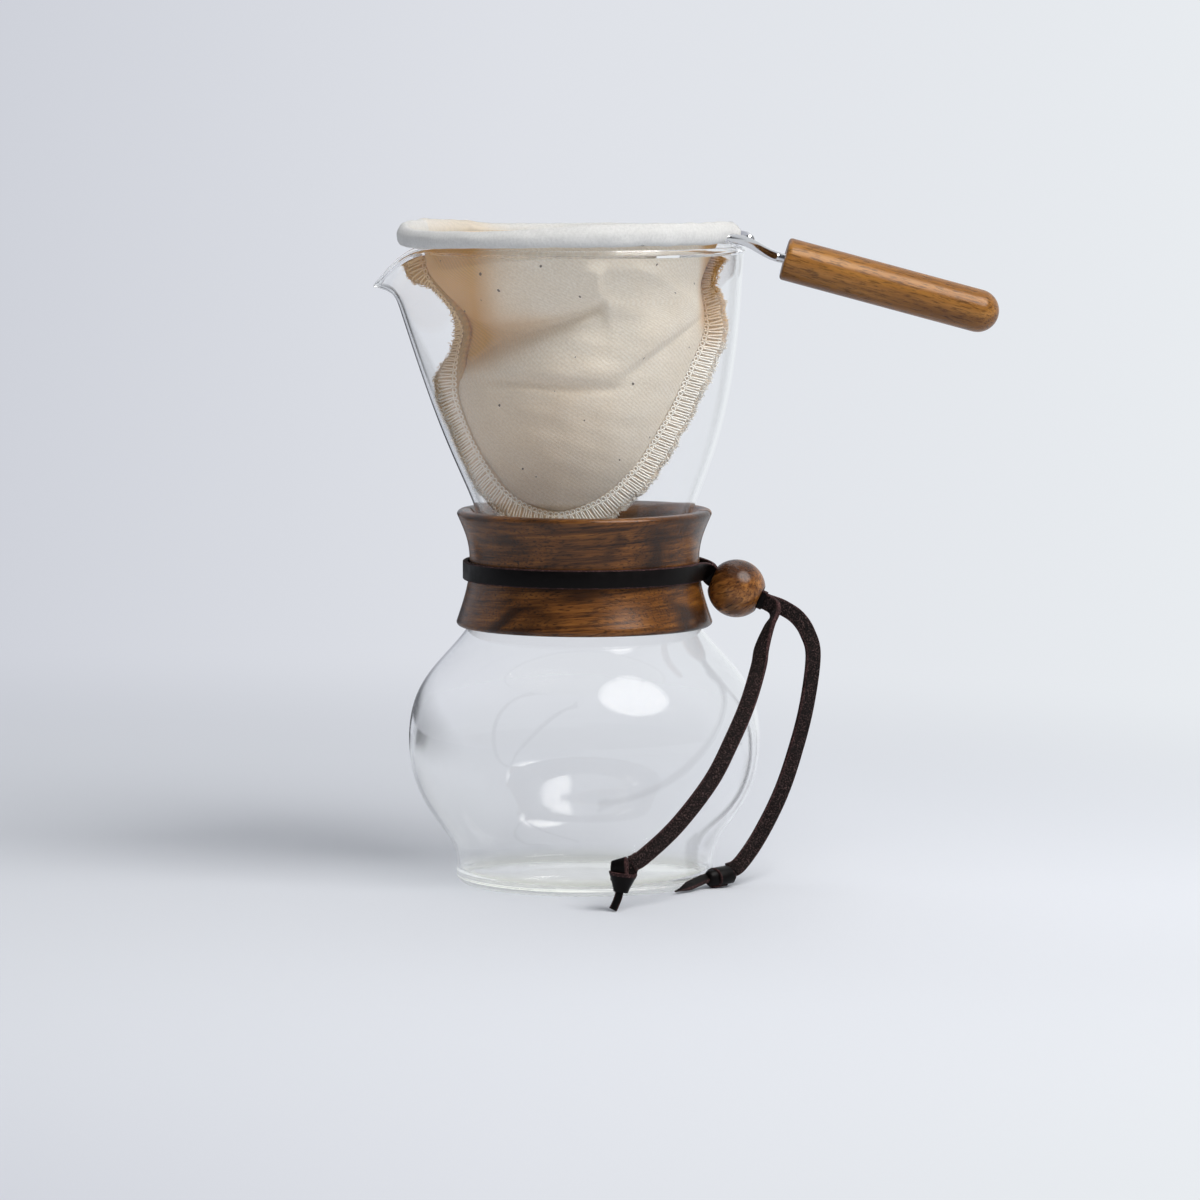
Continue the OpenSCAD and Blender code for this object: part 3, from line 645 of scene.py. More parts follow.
TAIL_FRONT = [
    [57.4, -4.4, 83.7, 0.45, -0.25, 0.85], [57.6, -7, 81.6, 0.45, -0.55, 0.6],
    [55.8, -9.2, 78.4, 0.45, -0.8, 0.2], [53.5, -12.5, 72.2, 0.6, -0.6, -0.2],
    [52.4, -17, 66.9, 0.7, -0.5, -0.25], [48.9, -27.5, 57, 0.8, -0.3, -0.4], [44, -37, 47, 0.85, -0.2, -0.45],
    [37.6, -47, 36, 0.8, 0, -0.6], [27.3, -57, 24, 0.7, 0.1, -0.7], [17.4, -63.5, 15.6, 0.6, 0.1, -0.8],
    [14, -65.5, 14, 0.7, 0.1, -0.7]]
TAIL_BACK = [
    [60.1, -0.6, 83.3, 0.5, 0, 0.9], [64.6, 0, 80.2, 0.75, 0.2, 0.7], [67.7, 0, 75.5, 0.9, 0.3, 0.45],
    [69.4, 0, 68.5, 0.9, 0.45, 0.05], [67.6, 0, 54, 0.85, 0.5, -0.15], [64.3, 0, 40.5, 0.85, 0.45, -0.3],
    [59.6, -3, 27, 0.85, 0.3, -0.4], [53, -8, 14.5, 0.8, 0.1, -0.6], [47, -13, 6.6, 0.6, 0, -0.8],
    [43.5, -14.6, 4.8, 0.5, 0, -0.85]]
COLLAR_LOW = [(38.8, 79.3), (36.8, 85.3), (34.8, 90.7), (34.8, 97.7)]
COLLAR_HIGH = [(34.8, 97.7), (34.8, 103.7), (36.4, 106.9), (38.6, 111.9)]


def on_strand(s, along, off=STRAND_OFF, up=0.0):
    """Row on the strand of side s, so far along the bead's bore from its middle."""
    return np.concatenate([bead_mid + along * bead_axis + s * off * bead_side + up * bead_up, bead_up])


def tail(name, node, s, points):
    """Hanging tail, from the bead's strand at its high end down beside the pot at its low end. It rides on no
    body.
    """
    run = np.vstack([on_strand(s, STRAND_END + 0.05), spline([on_strand(s, STRAND_END + 1.2)] + points, 8)])
    co, faces, index = band(run[:, :3], run[:, 3:], STRAP_W - 0.4, STRAP_T)
    ob = make(name, node, co, faces, [suede, suede, cut_edge], "pot", index, ride=False)
    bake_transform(ob)
    return ob, run[:, :3]


collar_side = np.vstack([bez(COLLAR_LOW, 60), bez(COLLAR_HIGH, 60)[1:]])
strap_edges = np.array([STRAP_Z - STRAP_W / 2, STRAP_Z + STRAP_W / 2])
strap_r = max(radius_at(strap_edges, collar_side)) + STRAP_T / 2 + 0.2


def on_collar(a):
    a = math.radians(a)
    return np.array([strap_r * math.cos(a), strap_r * math.sin(a), STRAP_Z, 0, 0, 1])


def strand(s):
    return [on_strand(s, STRAND_END), on_strand(s, 0), on_strand(s, -7.3),
            on_strand(s, -9.9, STRAND_OFF + 1.4, 1.2)]


def strap():
    """Strap round the collar, with both strands through the bead."""
    loop = np.vstack([spline(strand(1) + [on_collar(-16), on_collar(-22)], 8),
                      [on_collar(a) for a in range(-25, -336, -3)],
                      spline([on_collar(-338), on_collar(-344)] + strand(-1)[::-1], 8)])
    co, faces, index = band(loop[:, :3], loop[:, 3:], STRAP_W + 0.4, STRAP_T)
    make("strap_leather", "strap_loop", co, faces, [leather, leather, cut_edge], "pot", index)


def knot_front():
    """Cup of rolled strap, with the fold that stands out of it and the short end below."""
    low, top = np.array([10.8, -66.8, 5.7]), np.array([11.5, -66.6, 11.2])
    h = np.linalg.norm(top - low)
    flare = [(2.15 + 2.1 * t**1.15, h * t) for t in np.linspace(0, 1, 8)]
    rim = [(4.2, h + 0.25), (3.9, h + 0.35), (3.5, h + 0.2), (3.3, h - 0.5)]
    profile = [(0.3, 0.1), (1.9, 0)] + flare + rim + [(0.3, h - 0.8)]
    co, faces = lathe(profile, 48, low, top - low, 0.9)
    cup = (co, faces, [EDGE if 8 <= j % len(profile) <= 12 else FACE for j in range(len(faces))])
    run = spline([[10.2, -67.5, 9.2], [10.2, -67.7, 11.6], [10.2, -67.7, 13.7], [10.4, -67.1, 15.0],
                  [10.7, -66.4, 14.2], [10.7, -66.3, 12.0], [10.7, -66.3, 9.6]], 6)
    fold = band(run, [0.88, -0.36, 0.33], 4.9, 1.4)
    run = spline([[16.2, -64.2, 15.2], [14.6, -65.0, 14.0], [13.6, -65.3, 12.4], [13.0, -65.6, 10.0]], 6)
    into = band(run, [0.65, 0.1, -0.75], 4.6, 1.6)
    run = spline([[10.7, -66.8, 7.5], [10.2, -66.9, 4.6], [9.3, -67.0, 2.2], [8.5, -67.1, 0.55]], 5)
    tip = band(run, [1, 0, 0.2], 2.4, 1.6)
    return join([cup, one_sided(fold, FACE), one_sided(into, BACK), one_sided(tip, FACE)])


def knot_back():
    """Strap wound once round itself, with the short end that tapers to a point."""
    start, end, turns = np.array([45.0, -13.8, 3.7]), np.array([36.9, -20.0, 3.1]), 56
    z = unit(end - start)
    h = np.linalg.norm(end - start)
    core = [(0.3, 0), (1.9, 0.05), (2.5, 0.14 * h), (2.75, 0.4 * h), (2.7, 0.66 * h), (2.35, 0.92 * h),
            (1.7, h), (0.3, h), (0.25, h / 2)]
    co, faces = lathe(core, 40, start, z, 0.9, (0, 0, 1))
    x = unit(np.array([0, 0, 1.0]) - z[2] * z)
    y = np.cross(z, x)
    w = np.radians(np.linspace(-150, 200, turns))[:, None]
    grow = np.linspace(2.75, 3.15, turns)[:, None]
    run = (start + end) / 2 + np.linspace(-1.1, 1.0, turns)[:, None] * z
    run = run + grow * (0.84 * np.cos(w) * x + 1.05 * np.sin(w) * y)
    run[:, 2] = np.maximum(run[:, 2], 0.7)
    wrap = band(run, z, 5.4, 0.9)
    run = spline([[40.5, -17.2, 3.6], [36.5, -20.4, 3.2], [32, -26.2, 2.1], [29, -30.4, 1.35],
                  [27.2, -32.6, 1.0]], 6)
    tip = one_sided(band(run, [0.6, -0.5, -0.6], 2.9, 1.6), FACE)
    taper = smooth(length_along(run) / length_along(run)[-1], 1.0, 0.6) * 0.8 + 0.2
    tip_co = run[:, None] + (tip[0].reshape(len(run), -1, 3) - run[:, None]) * taper[:, None, None]
    return join([(co, faces, FACE), wrap, (tip_co.reshape(-1, 3), *tip[1:])])


def knot(name, node, build):
    co, faces, index = build()
    co[:, 2] = np.maximum(co[:, 2], 0.15)
    return make(name, node, co, faces, [leather, suede, cut_edge], "pot", index)


tails = [tail("tail_front_leather", "tail_front", 1, TAIL_FRONT),
         tail("tail_back_leather", "tail_back", -1, TAIL_BACK)]
strap()
knots = [knot("knot_front_leather", "knot_with_end_front", knot_front),
         knot("knot_back_leather", "knot_with_end_back", knot_back)]

# Glass carafe. Angles go round from the pouring lip, at -X

RIM_Z, RIM_R, WALL, MOUTH_R = 193.3, 1.5, 1.1, 48.0
RIM_MID = RIM_Z - 1.6
FUNNEL_Z, CHANNEL_Z = 107.2, 112.0
LIP_HALF, CHANNEL_HALF = 24, 40
BELLY_R, NECK_R = 53.3, 30.3
outline = np.vstack([
    bez([(39, 6), (39, 17.25), (BELLY_R, 21), (BELLY_R, 43.5)], 40),
    bez([(BELLY_R, 43.5), (BELLY_R, 71.3), (NECK_R, 68.7), (NECK_R, 96)], 50)[1:],
    bez([(NECK_R, 96), (NECK_R, 122.5), (45.7, 121.8), (MOUTH_R, RIM_MID)], 60)[1:]])
inline = outline - WALL * outward(outline)


def lip_share(a, half):
    """1 in the middle of the lip and 0 from half degrees on."""
    a = np.abs(a)
    return np.where(a >= half, 0.0, (1 + np.cos(np.radians(180 * np.minimum(a, half) / half))) / 2)


def edge_z(a):
    return RIM_MID - 11 * lip_share(a, LIP_HALF) ** 1.6


def lip_reach(a, z):
    """How far the pouring lip is pulled out: a broad channel low down, and a narrow curl at its end."""
    v = np.clip((z - CHANNEL_Z) / (edge_z(a) - CHANNEL_Z), 0, 1)
    channel = lip_share(a, CHANNEL_HALF) ** (1 + 0.8 * v**3) * 10.6 * v**1.75
    return channel + lip_share(a, LIP_HALF) * 5.5 * v**55


def funnel_section(a):
    """Section of the funnel at an angle: up its outside, round the rim's bead and down its inside."""
    top = edge_z(a)
    z = FUNNEL_Z + (top - FUNNEL_Z) * (1 - (1 - np.linspace(0, 1, 56)) ** 1.7)
    mid = np.stack([(radius_at(z, outline) + radius_at(z, inline)) / 2 + lip_reach(a, z), z], 1)
    out = outward(mid)
    up = np.array([-out[-1][1], out[-1][0]])
    thin = lip_share(a, 30)
    wall = WALL * (1 - 0.35 * thin * ((z - FUNNEL_Z) / (top - FUNNEL_Z)) ** 4)[:, None]
    b = np.radians(np.arange(-30, 211, 20))[:, None]
    bead = mid[-1] + RIM_R * (1 - 0.56 * thin) * (np.cos(b) * out[-1] + np.sin(b) * up)
    return np.vstack([(mid + wall / 2 * out)[:-1], bead, (mid - wall / 2 * out)[:-1][::-1]])


def carafe():
    """Foot, bulb, neck and funnel as one closed skin, from sections all round."""
    turns = 216
    low_out = outline[outline[:, 1] < FUNNEL_Z - 0.4]
    low_in = inline[(inline[:, 1] < FUNNEL_Z - 0.4) & (inline[:, 1] > 6.4)]
    foot = [(0.3, 0.5), (18, 0.45), (31, 0.35), (35, 0.0)]
    under = np.vstack([foot, arc((36.5, 2.5), 2.5, -80, 0, 7), low_out])
    inside = np.vstack([low_in[::-1], arc((low_in[0, 0] - 3, 5.2), 3, 0, -90, 9), [(20, 2.2), (0.3, 2.3)]])
    rings = []
    for a in np.linspace(0, 360, turns, endpoint=False):
        s = np.vstack([under, funnel_section(a if a <= 180 else a - 360), inside])
        w = math.radians(a)
        rings.append(np.stack([-s[:, 0] * math.cos(w), s[:, 0] * math.sin(w), s[:, 1]], 1))
    n = len(rings[0])
    faces = grid(turns, n, wrap_u=True)
    faces += [[i * n for i in range(turns)], [i * n + n - 1 for i in range(turns)]]
    make("carafe_glass", "glass_carafe", np.array(rings), faces, glass, "pot")


carafe()

# Wooden collar and bead

COLLAR_Z, COLLAR_TOP, COLLAR_EDGE = 78.0, 113.2, 1.3
SPLIT_TURN, SPLIT_GAP = -8, math.degrees(0.3 / 36)
BEAD_R, BORE_MOUTH_R, BORE_R = 8.8, 4.2, 3.4


def collar_half(name, node, start):
    z_in = np.linspace(COLLAR_TOP - 2.6, COLLAR_Z, 24)
    r_in = radius_at(z_in, outline) + 0.35
    foot, top = COLLAR_LOW[0], COLLAR_HIGH[-1]
    profile = np.vstack([
        arc((foot[0] - COLLAR_EDGE, foot[1]), COLLAR_EDGE, -90, 0, 6), bez(COLLAR_LOW, 16)[1:],
        bez(COLLAR_HIGH, 14)[1:-1], arc((top[0] - COLLAR_EDGE, top[1]), COLLAR_EDGE, 0, 90, 6),
        [(r_in[0] + 2.4, COLLAR_TOP)], np.stack([r_in, z_in], 1)])
    start = start + SPLIT_TURN
    w = np.radians(np.linspace(start + SPLIT_GAP, start + 180 - SPLIT_GAP, 97))
    co = np.stack([np.outer(np.cos(w), profile[:, 0]), np.outer(np.sin(w), profile[:, 0]),
                   np.tile(profile[:, 1], (len(w), 1))], -1)
    ob = make(name, node, co, capped(len(w), len(profile)), collar_wood, "pot")
    mod = ob.modifiers.new("edge", "BEVEL")
    mod.width, mod.segments, mod.limit_method, mod.angle_limit = 0.0005, 2, "ANGLE", math.radians(60)


def bead():
    mouth = math.degrees(math.asin(BORE_MOUTH_R / BEAD_R))
    ball = arc((0, 0), BEAD_R, 90 - mouth, mouth - 90, 40)
    end = [(3.9, -7.1), (3.5, -6.3), (BORE_R, -4)]
    bore = end + [(BORE_R, 0)] + [(r, -z) for r, z in end[::-1]]
    co, faces = lathe(np.vstack([ball, bore]), 72, bead_mid, bead_axis)
    make("bead_wood", "wood_bead", co, faces, bead_wood, "bead")


collar_half("collar_front_wood", "collar_front", 180)
collar_half("collar_back_wood", "collar_back", 0)
bead()

# Wire hoop and handle

HOOP = np.array([-5.3, 0, 195.9])
HOOP_R, WIRE_R = 49.0, 1.5
HANDLE_R, HANDLE_LONG, WIRE_BORE_R = 6.5, 67, 1.62
drop = math.radians(SHANK_DROP)
shank = np.array([math.cos(drop), 0, -math.sin(drop)])
handle_start = np.array([60.3, 0, 189.1])


def on_hoop(a):
    a = math.radians(a)
    return HOOP + HOOP_R * np.array([math.cos(a), math.sin(a), 0])


def wire():
    """Hooked free end, hoop and shank, as one bent wire."""
    shank_top = handle_start - 4 * shank
    hook = on_hoop(-18) + 0.62 * (shank_top - on_hoop(-18)) + [-1.0, 0.4, 2.4 * WIRE_R - 0.9]
    run = np.vstack([
        spline([hook, (hook + on_hoop(6)) / 2 + [1.6, 0, 0.4], on_hoop(6), on_hoop(9)], 8),
        [on_hoop(a) for a in range(12, 334, 3)],
        spline([on_hoop(-24), on_hoop(-21), [43.6, -15.9, 195.7], [49.0, -10.6, 194.4], shank_top,
                handle_start + 3 * shank, handle_start + 20 * shank], 8)])
    co, faces = tube(run, WIRE_R, 16)
    make("hoop_wire", "wire_hoop", co, faces, steel, "filter")


def handle():
    """Turned handle with a round end and a blind bore for the shank."""
    mouth = [(WIRE_BORE_R, 0.4), (1.9, 0), (5.5, 0), (5.95, 0.12), (6.3, 0.4), (HANDLE_R, 0.9)]
    side = [(HANDLE_R, z) for z in np.linspace(2, 59, 12)]
    dome = arc((0, HANDLE_LONG - HANDLE_R), HANDLE_R, 0, 90, 18)[:-1]
    bore = [(0.25, HANDLE_LONG), (0.25, 24), (WIRE_BORE_R, 23)]
    co, faces = lathe(np.vstack([mouth, side, dome, bore]), 72, handle_start, shank)
    make("handle_wood", "handle", co, faces, handle_wood, "filter")


wire()
handle()

# Filter bag. Each seam's rows hold a height and the seam's X there

TOP_Z, LOW_Z, FINE_Z = 195.3, 112.2, 118
TOE_X = -8.6
BAG_DEEP, MOUTH_DEEP, CLOTH_T = 33, 46.5, 0.9
SEAM_L = np.array([
    (196, -51.4), (193.6, -50), (190, -47.6), (185, -46.3), (180, -42.5), (175, -38.5), (168, -35.6),
    (160, -36.8), (149, -38.4), (139, -35.6), (132, -32.6), (125.5, -28.8), (120, -24.6), (116.3, -20.4),
    (113.8, -15.2), (112.6, -11), (LOW_Z, TOE_X)])
SEAM_R = np.array([
    (196, 41), (193.6, 40.2), (190, 38.4), (186, 36.6), (181, 35.2), (173, 36.3), (166.3, 36.1),
    (154.6, 31.3), (147.5, 28), (140.5, 24.4), (133, 20), (127.1, 16.2), (122, 11.5), (118.8, 7.9),
    (115.5, 2.5), (113.2, -3.2), (112.4, -6.6), (LOW_Z, TOE_X)])


def seam_x(z, table):
    """The seam's X at a height, from its table rounded off."""
    fine = spline(table, 12)
    order = np.argsort(fine[:, 0])
    return np.interp(z, fine[order, 0], fine[order, 1])


def pillow_fold(x, z, left):
    """Full cloth on the upper left, left of the upright crease, that tucks under along its lower line."""
    above = z - np.interp(x, [-46, -34, -21.7, -7.3, 6.1, 14], [167, 168.7, 169.3, 172.3, 176.8, 180])
    tuck = 2.2
    full = (1.2 + 4.2 * np.exp(-np.maximum(left, 0) / 10) + tuck) * (1 - 0.4 * smooth(above, 9, 22))
    rounded = full * (1 - np.exp(-np.maximum(above, 0) / 2.4)) - tuck
    return np.where(above > 0, rounded, -tuck * np.exp(np.minimum(above, 0) / 5))


def facet_fold(x, z):
    """Flat facet on the right, from a ridge down to a sharp valley."""
    ridge = 188.2 - 0.691 * (x - 16.9)
    valley = np.interp(x, [2, 11.8, 22.6, 37.3, 46], [148.5, 154.6, 162.1, 172.6, 178])
    rise = np.clip((z - valley) / np.maximum(ridge - valley, 1), 0, 1)
    facet = 3.2 * rise * np.where(z > ridge, np.exp(-np.maximum(z - ridge, 0) / 9), 1)
    facet = facet + 1.8 * smooth(z - valley, 0, 2.4) * np.exp(-np.maximum(z - valley, 0) / 8)
    return facet - 1.4 * np.exp(-np.abs(z - valley) / 4.5)


def hollow_fold(x, z):
    """Hollow under the pillow, deep at the left seam and run out in the middle."""
    at = [-46, -34, -20, -6, 4]
    below = z - np.interp(x, at, [161, 163, 166.6, 171, 175.5])
    wide = np.interp(x, at, [9, 7.5, 5, 2.8, 1.5]) * np.where(below < 0, 0.75, 1.1)
    return -np.interp(x, at, [8.5, 7.5, 4.6, 2.2, 0]) * bump(below, wide)


def soft_crease(x, z):
    line = np.interp(x, [-36, -13, 8], [153.4, 152.6, 151.2])
    span = smooth(x, -40, -26) * (1 - smooth(x, 4, 14))
    return span * (0.9 * bump(z - line - 5, 4) - 1.4 * bump(z - line, 1.7))


def front_folds(x, z):
    """How far the folds of the front stand out toward the viewer."""
    left = np.interp(z, [168, 176, 184, 192], [7.4, 6.0, 5.2, 6.6]) - x
    side = smooth(left, -0.6, 0.8)
    high = smooth(z, 171, 178)
    pillow = pillow_fold(x, z, left) * side * smooth(x, -50, -20)
    facet = facet_fold(x, z) * ((1 - high) * smooth(x, 8, 18) + high * (1 - side))
    return 1.5 * (pillow + facet + hollow_fold(x, z) + soft_crease(x, z))


def back_folds(x, z):
    def along(p, q, width):
        p, d = np.array(p, float), np.array(q, float) - p
        t = np.clip(((x - p[0]) * d[0] + (z - p[1]) * d[1]) / (d @ d), 0, 1)
        return bump(np.hypot(x - p[0] - t * d[0], z - p[1] - t * d[1]), width)

    return (2.8 * along((-34, 172), (4, 180), 7) - 3.2 * along((-34, 161), (10, 169), 6)
            + 2 * along((10, 184), (34, 170), 6))


def room_r(a, z):
    """Radius that is free for cloth inside the glass."""
    inside = np.minimum(radius_at(np.minimum(z, RIM_MID), inline), MOUTH_R - WALL / 2 - 1.6)
    return inside + lip_reach(a, z) - 0.45


def cloth_room(a, z):
    return np.minimum.reduce([room_r(a + aside, z) for aside in (-5, 5, 0)])


def bag_sheet(side, rows, columns):
    """Outer face of one panel between the seams, and its flat coordinates."""
    toe = FINE_Z + (LOW_Z + 0.02 - FINE_Z) * np.linspace(0, 1, rows // 4)[1:] ** 0.6
    z = np.concatenate([np.linspace(TOP_Z, FINE_Z, rows), toe])
    Z, A = np.meshgrid(z, np.radians(np.linspace(-90, 90, columns + 1)), indexing="ij")
    down, across = TOP_Z - Z, np.cos(A)
    V = down / (TOP_Z - LOW_Z)
    left, right = seam_x(Z, SEAM_L), seam_x(Z, SEAM_R)
    x = (left + right) / 2 + (right - left) / 2 * np.sin(A)
    deep = BAG_DEEP * (1 - V**2) ** 0.85 + (MOUTH_DEEP - BAG_DEEP) * bump(V, 0.13)
    plain = deep * across ** (1 + np.where(A < 0, 1.1, 0.7) * smooth(V, 0.1, 0.35))
    fold = (front_folds if side < 0 else back_folds)(x, Z) * across**0.7 * smooth(down, 1.5, 9) * (1 - V**6)
    fold = blur(blur(fold).T).T
    d = np.maximum(plain + fold, 0.5 * plain)
    rumple = waves(np.stack([x, Z, 0 * x + side * 7.0], -1), 3, 6, 20)
    d = d + 0.22 * rumple * across * smooth(down, 2, 8)
    y = side * np.maximum(0.15 * across, d)
    room = cloth_room(np.degrees(np.arctan2(y, -x)), np.minimum(Z, RIM_Z))
    pull = np.minimum(1, room / np.maximum(np.hypot(x, y), 0.01))
    pull = 1 + (pull - 1) * smooth(RIM_Z + 1.6 - Z, 0, 0.8)
    pts = np.stack([x * pull, y * pull, Z], -1)
    steps = np.cumsum(np.linalg.norm(np.diff(pts, axis=1), axis=2), axis=1)
    cols = np.concatenate([np.zeros((len(z), 1)), steps], 1)
    cols = cols - cols[:, [columns // 2]]
    return pts, np.stack([cols, np.broadcast_to(down[:, :1], cols.shape)], -1) * MM


def shell(pts, side):
    """Closed shell from a sheet: its points, and the same moved in by the cloth's thickness."""
    normal = np.cross(np.gradient(pts, axis=0), np.gradient(pts, axis=1))
    inward = -CLOTH_T if normal[60, 60, 1] * side > 0 else CLOTH_T
    nu, nv = pts.shape[:2]
    inner = pts + inward * unit(normal)
    face = np.array(grid(nu, nv))
    back = face[:, ::-1] + nu * nv
    edge = [i * nv for i in range(nu - 1, 0, -1)] + list(range(nv - 1))
    edge += [i * nv + nv - 1 for i in range(nu - 1)] + [(nu - 1) * nv + k for k in range(nv - 1, 0, -1)]
    rim = [[a, b, b + nu * nv, a + nu * nv] for a, b in zip(edge, edge[1:] + edge[:1])]
    return np.vstack([pts.reshape(-1, 3), inner.reshape(-1, 3)]), face.tolist() + back.tolist() + rim


def painted_glow_and_shade(x, z):
    """Painted gold: a painted glow where light from behind shines through the cloth's sides and its hollow,
    and painted warm shade on its lower left.
    """
    at = [-46, -34, -6]
    hollow = bump(z - np.interp(x, at, [162, 164, 172]), np.interp(x, at, [9, 7, 3])) * smooth(-x, 0, 30)
    left = smooth(-x, 23, 38) * smooth(z, 152, 166) + 0.25 * smooth(-x, 12, 30) * smooth(z, 168, 176)
    right = smooth(x, 33.5, 37) * smooth(z, 162, 174)
    beige = 0.24 * smooth(-x, -22, 14) * smooth(-z, -170, -140)
    return np.clip(left + 0.6 * hollow + right + beige, 0, 1)


def panel(name, node, side, rows, columns):
    pts, uv = bag_sheet(side, rows, columns)
    co, faces = shell(pts, side)
    # Painted glow and painted warm shade as the tint, weaker on the back panel and on the inner face.
    warm = painted_glow_and_shade(pts[..., 0], pts[..., 2]).ravel() * (1.0 if side < 0 else 0.4)
    return make(name, node, co, faces, cream, "filter", uv=np.vstack([uv.reshape(-1, 2)] * 2),
                tint=np.concatenate([warm, warm * 0.5]))


front_panel = panel("bag_front_cloth", "bag_front_panel", -1, 200, 160)
back_panel = panel("bag_back_cloth", "bag_back_panel", 1, 110, 90)

# Overlocked flap along the seam. On the upper left it is turned away, and on the right toward the viewer

FLAP_WIDE, PITCH = 7.0, 1.65
heights = np.concatenate([np.linspace(191, 114, 200), np.linspace(113.9, 112.25, 40)])
down_left = np.stack([seam_x(heights, SEAM_L), heights], 1)
up_right = np.stack([seam_x(heights, SEAM_R), heights], 1)[::-1]
seam = resample(np.vstack([down_left, up_right]), 420)
seam = blur(np.stack([seam[:, 0], 0 * seam[:, 0], seam[:, 1]], 1), 10)
seam_s = length_along(seam)
seam_tan = unit(np.gradient(seam, axis=0))
on_left = seam[:, 0] < TOE_X
left_twist = np.interp(seam[:, 2], [112, 152, 156, 160, 164, 168, 172, 178, 181, 183, 185, 187, 191],
                       [0, 8, 36, 60, 72, 76, 74, 76, 74, 56, 22, 0, 0])
right_twist = -np.interp(seam[:, 2], [112, 158, 168, 174, 181, 188, 191], [0, 0, 12, 26, 55, 52, 50])
twist = np.where(on_left, left_twist, right_twist)
twist = np.radians(twist + 5 * np.sin(seam_s / 5.3) + 4 * np.sin(seam_s / 2.9 + 1))[:, None]
flap_out = np.stack([seam_tan[:, 2], 0 * seam_tan[:, 0], -seam_tan[:, 0]], 1)
flap_out = unit(np.cos(twist) * flap_out + np.sin(twist) * np.array([0, 1.0, 0]))
flap_off = np.cross(seam_tan, flap_out)


def flap_width():
    """Uneven width, less where the glass is near."""
    wide = FLAP_WIDE + 0.25 * np.sin(seam_s / 1.9) + 0.2 * np.sin(seam_s / 0.83)
    sideways = np.abs(flap_out[:, 0])
    tip = seam + flap_out * 6.8
    room = room_r(np.degrees(np.arctan2(0, -tip[:, 0])), tip[:, 2]) - np.abs(seam[:, 0])
    limit = np.minimum(1, room / np.maximum(sideways * 7.2, 0.1))
    return wide * np.where(sideways > 0.3, np.clip(limit, 0.5, 1), 1)


flap_w = flap_width()


def seam_flap():
    half = [(-0.3, -0.75), (0.15, -0.85), (0.5, -0.8), (0.85, -0.6)]
    sect = np.array(half + [(1.0, 0)] + [(a, -h) for a, h in half[::-1]])
    across = sect[:, 0] * flap_w[:, None]
    co = seam[:, None] + across[..., None] * flap_out[:, None] + sect[None, :, 1:] * flap_off[:, None]
    co = co + (0.12 * waves(co, 8, 1.2, 4))[..., None] * flap_off[:, None]
    # Painted warm shade over the left side, and a painted glow of light from behind higher up.
    warm = np.where(on_left, 0.35 + 0.65 * smooth(seam[:, 2], 146, 164), smooth(seam[:, 2], 158, 172))
    uv = np.stack([np.broadcast_to(seam_s[:, None], across.shape), across], -1) * MM
    return make("seam_flap_cloth", "seam_flap", co, capped(len(seam), len(sect)), shaded_flap_cloth, "filter",
                uv=uv, tint=np.repeat(warm, len(sect)))


def on_flap(s, across, height):
    """Places on the flap: along the seam, across it as a share of its width, and off its middle."""
    across, height = np.broadcast_to(across, s.shape), np.broadcast_to(height, s.shape)
    middle, out, off = [look_up(s, seam_s, rows) for rows in (seam, flap_out, flap_off)]
    return middle + (across * np.interp(s, seam_s, flap_w))[..., None] * out + height[..., None] * off


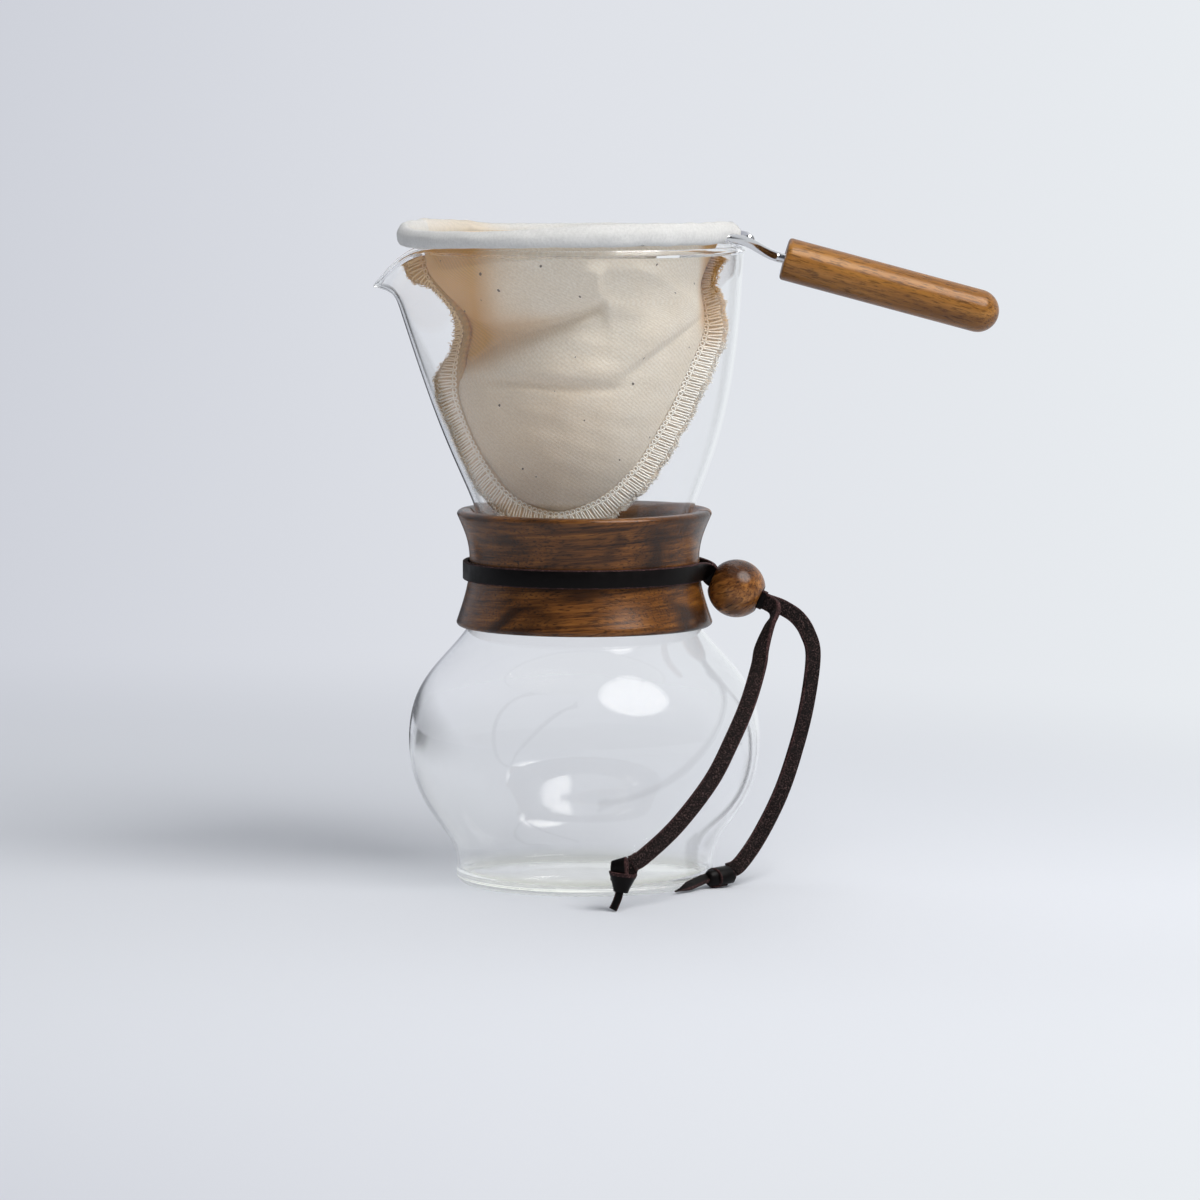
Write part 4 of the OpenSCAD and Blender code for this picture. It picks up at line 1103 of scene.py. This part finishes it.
def overlock():
    """Rings along the seam, hairpins across the flap on both faces, and loose fibres at its edge."""
    ring_r, pin_r, hair_r, loop_r, hairs = 0.25, 0.27, 0.11, 0.62, 5200
    rng = np.random.default_rng(5)
    count = int(seam_s[-1] / PITCH)
    base = (np.arange(count) + 0.5)[:, None] * PITCH
    w = np.linspace(0, 2 * np.pi, 13)[None, :]
    half_reach, half_spread = [5.6, 4.5, 3.2, 2.0, 1.3], [0.5, 0.42, 0.36, 0.33, 0.22]
    reach = np.array(half_reach + [1.05] + half_reach[::-1]) / FLAP_WIDE
    spread = np.array([-s for s in half_spread] + [0] + half_spread[::-1])
    pin_height = np.interp(reach, [0.2, 0.6, 0.8], [1.1, 1.0, 0.75])
    parts, heights = [], []

    def add(paths, r, sides):
        parts.append((*threads(paths, r, sides), 0))
        heights.append(np.repeat(paths[:, :, 2].ravel(), sides))

    for face in (-1, 1):
        s = base + loop_r * np.cos(w)
        add(on_flap(s, (0.5 + loop_r * np.sin(w)) / FLAP_WIDE, face * 1.05), ring_r, 5)
        s = base + 0.5 * PITCH + spread + 1.2 * (reach - 0.2) + rng.normal(0, 0.07, (count, 1))
        add(on_flap(s, reach, face * pin_height), pin_r, 5)
    each = (hairs, 1)
    along = rng.uniform(0, seam_s[-1], each) + rng.normal(0, 0.5, each) * np.array([0, 0.4, 0.8, 1.0])
    start = rng.uniform(0.6, 0.94, each)
    across = start + rng.uniform(0.06, 0.2, each) * np.array([0, 0.4, 0.75, 1.0])
    off = rng.uniform(-0.95, 0.95, each) + rng.normal(0, 0.35, each) * np.array([0, 0.3, 0.7, 1.0])
    add(on_flap(along, across, off), hair_r, 3)
    co, faces, _ = join(parts)
    z = np.concatenate(heights)
    # Painted warm shade over the left threads, and a painted glow of light from behind higher up.
    tint = np.where(co[:, 0] < -8, 0.2 + 0.7 * smooth(z, 146, 166), 0.8 * smooth(z, 158, 174))
    return make("overlock_thread", None, co, faces, thread, "filter", tint=tint)


flap = seam_flap()
stitches = overlock()

# Hem casing, tight over the wire on the left and standing up on the right. Rows: angle, lower and upper Z

HEM = np.array([
    (6, 194.0, 199.2), (25, 193.7, 198.6), (60, 193.6, 198.1), (100, 193.6, 197.9), (118, 193.6, 198.2),
    (132, 193.6, 199.4), (150, 193.5, 200.3), (180, 193.0, 199.8), (205, 192.9, 198.3), (225, 193.4, 198.4),
    (245, 193.9, 198.9), (262, 194.2, 200.0), (278, 194.3, 201.0), (305, 194.4, 201.2), (350, 194.0, 200.6)])
HEM_HALF, HEM_SIDES = 2.35, 28


def hem_casing():
    angle = np.linspace(HEM[0, 0], HEM[-1, 0], 280)
    low, high = [blur(np.interp(angle, HEM[:, 0], HEM[:, k]), 12)[:, None] for k in (1, 2)]
    flare = smooth(angle, 336, 350)[:, None]
    w = all_round(HEM_SIDES)
    c, s = np.cos(w), np.sin(w)
    wide = HEM_HALF * np.sign(c) * np.abs(c) ** 0.8 * np.where(s > 0.2, 1 - 0.35 * (s - 0.2), 1)
    radial = HOOP_R + wide * (1 + 0.35 * flare) + 0.9 * flare
    height = (low + high) / 2 + (high - low) / 2 * s
    a = np.radians(angle)[:, None]
    co = np.stack([HOOP[0] + radial * np.cos(a), radial * np.sin(a), height], -1)
    out = np.stack([np.cos(a) * c, np.sin(a) * c, np.broadcast_to(s, height.shape)], -1)
    co = co + 0.13 * waves(co, 21, 4, 14)[..., None] * out
    first, last = [co[i].mean(0) + (co[i] - co[i].mean(0)) * 0.72 for i in (0, -1)]
    co = np.concatenate([first[None], co, last[None]])
    x, y = co[..., 0], co[..., 1]
    # Painted glow of light from behind: gold on the far left of the hem.
    warm = 0.55 * bump(x + 34, 16) * (y > 20) * smooth(42 - y, -4, 4)
    return make("hem_cloth", "hem_casing", co, capped(len(co), HEM_SIDES), white, "filter",
                tint=warm)


hem = hem_casing()
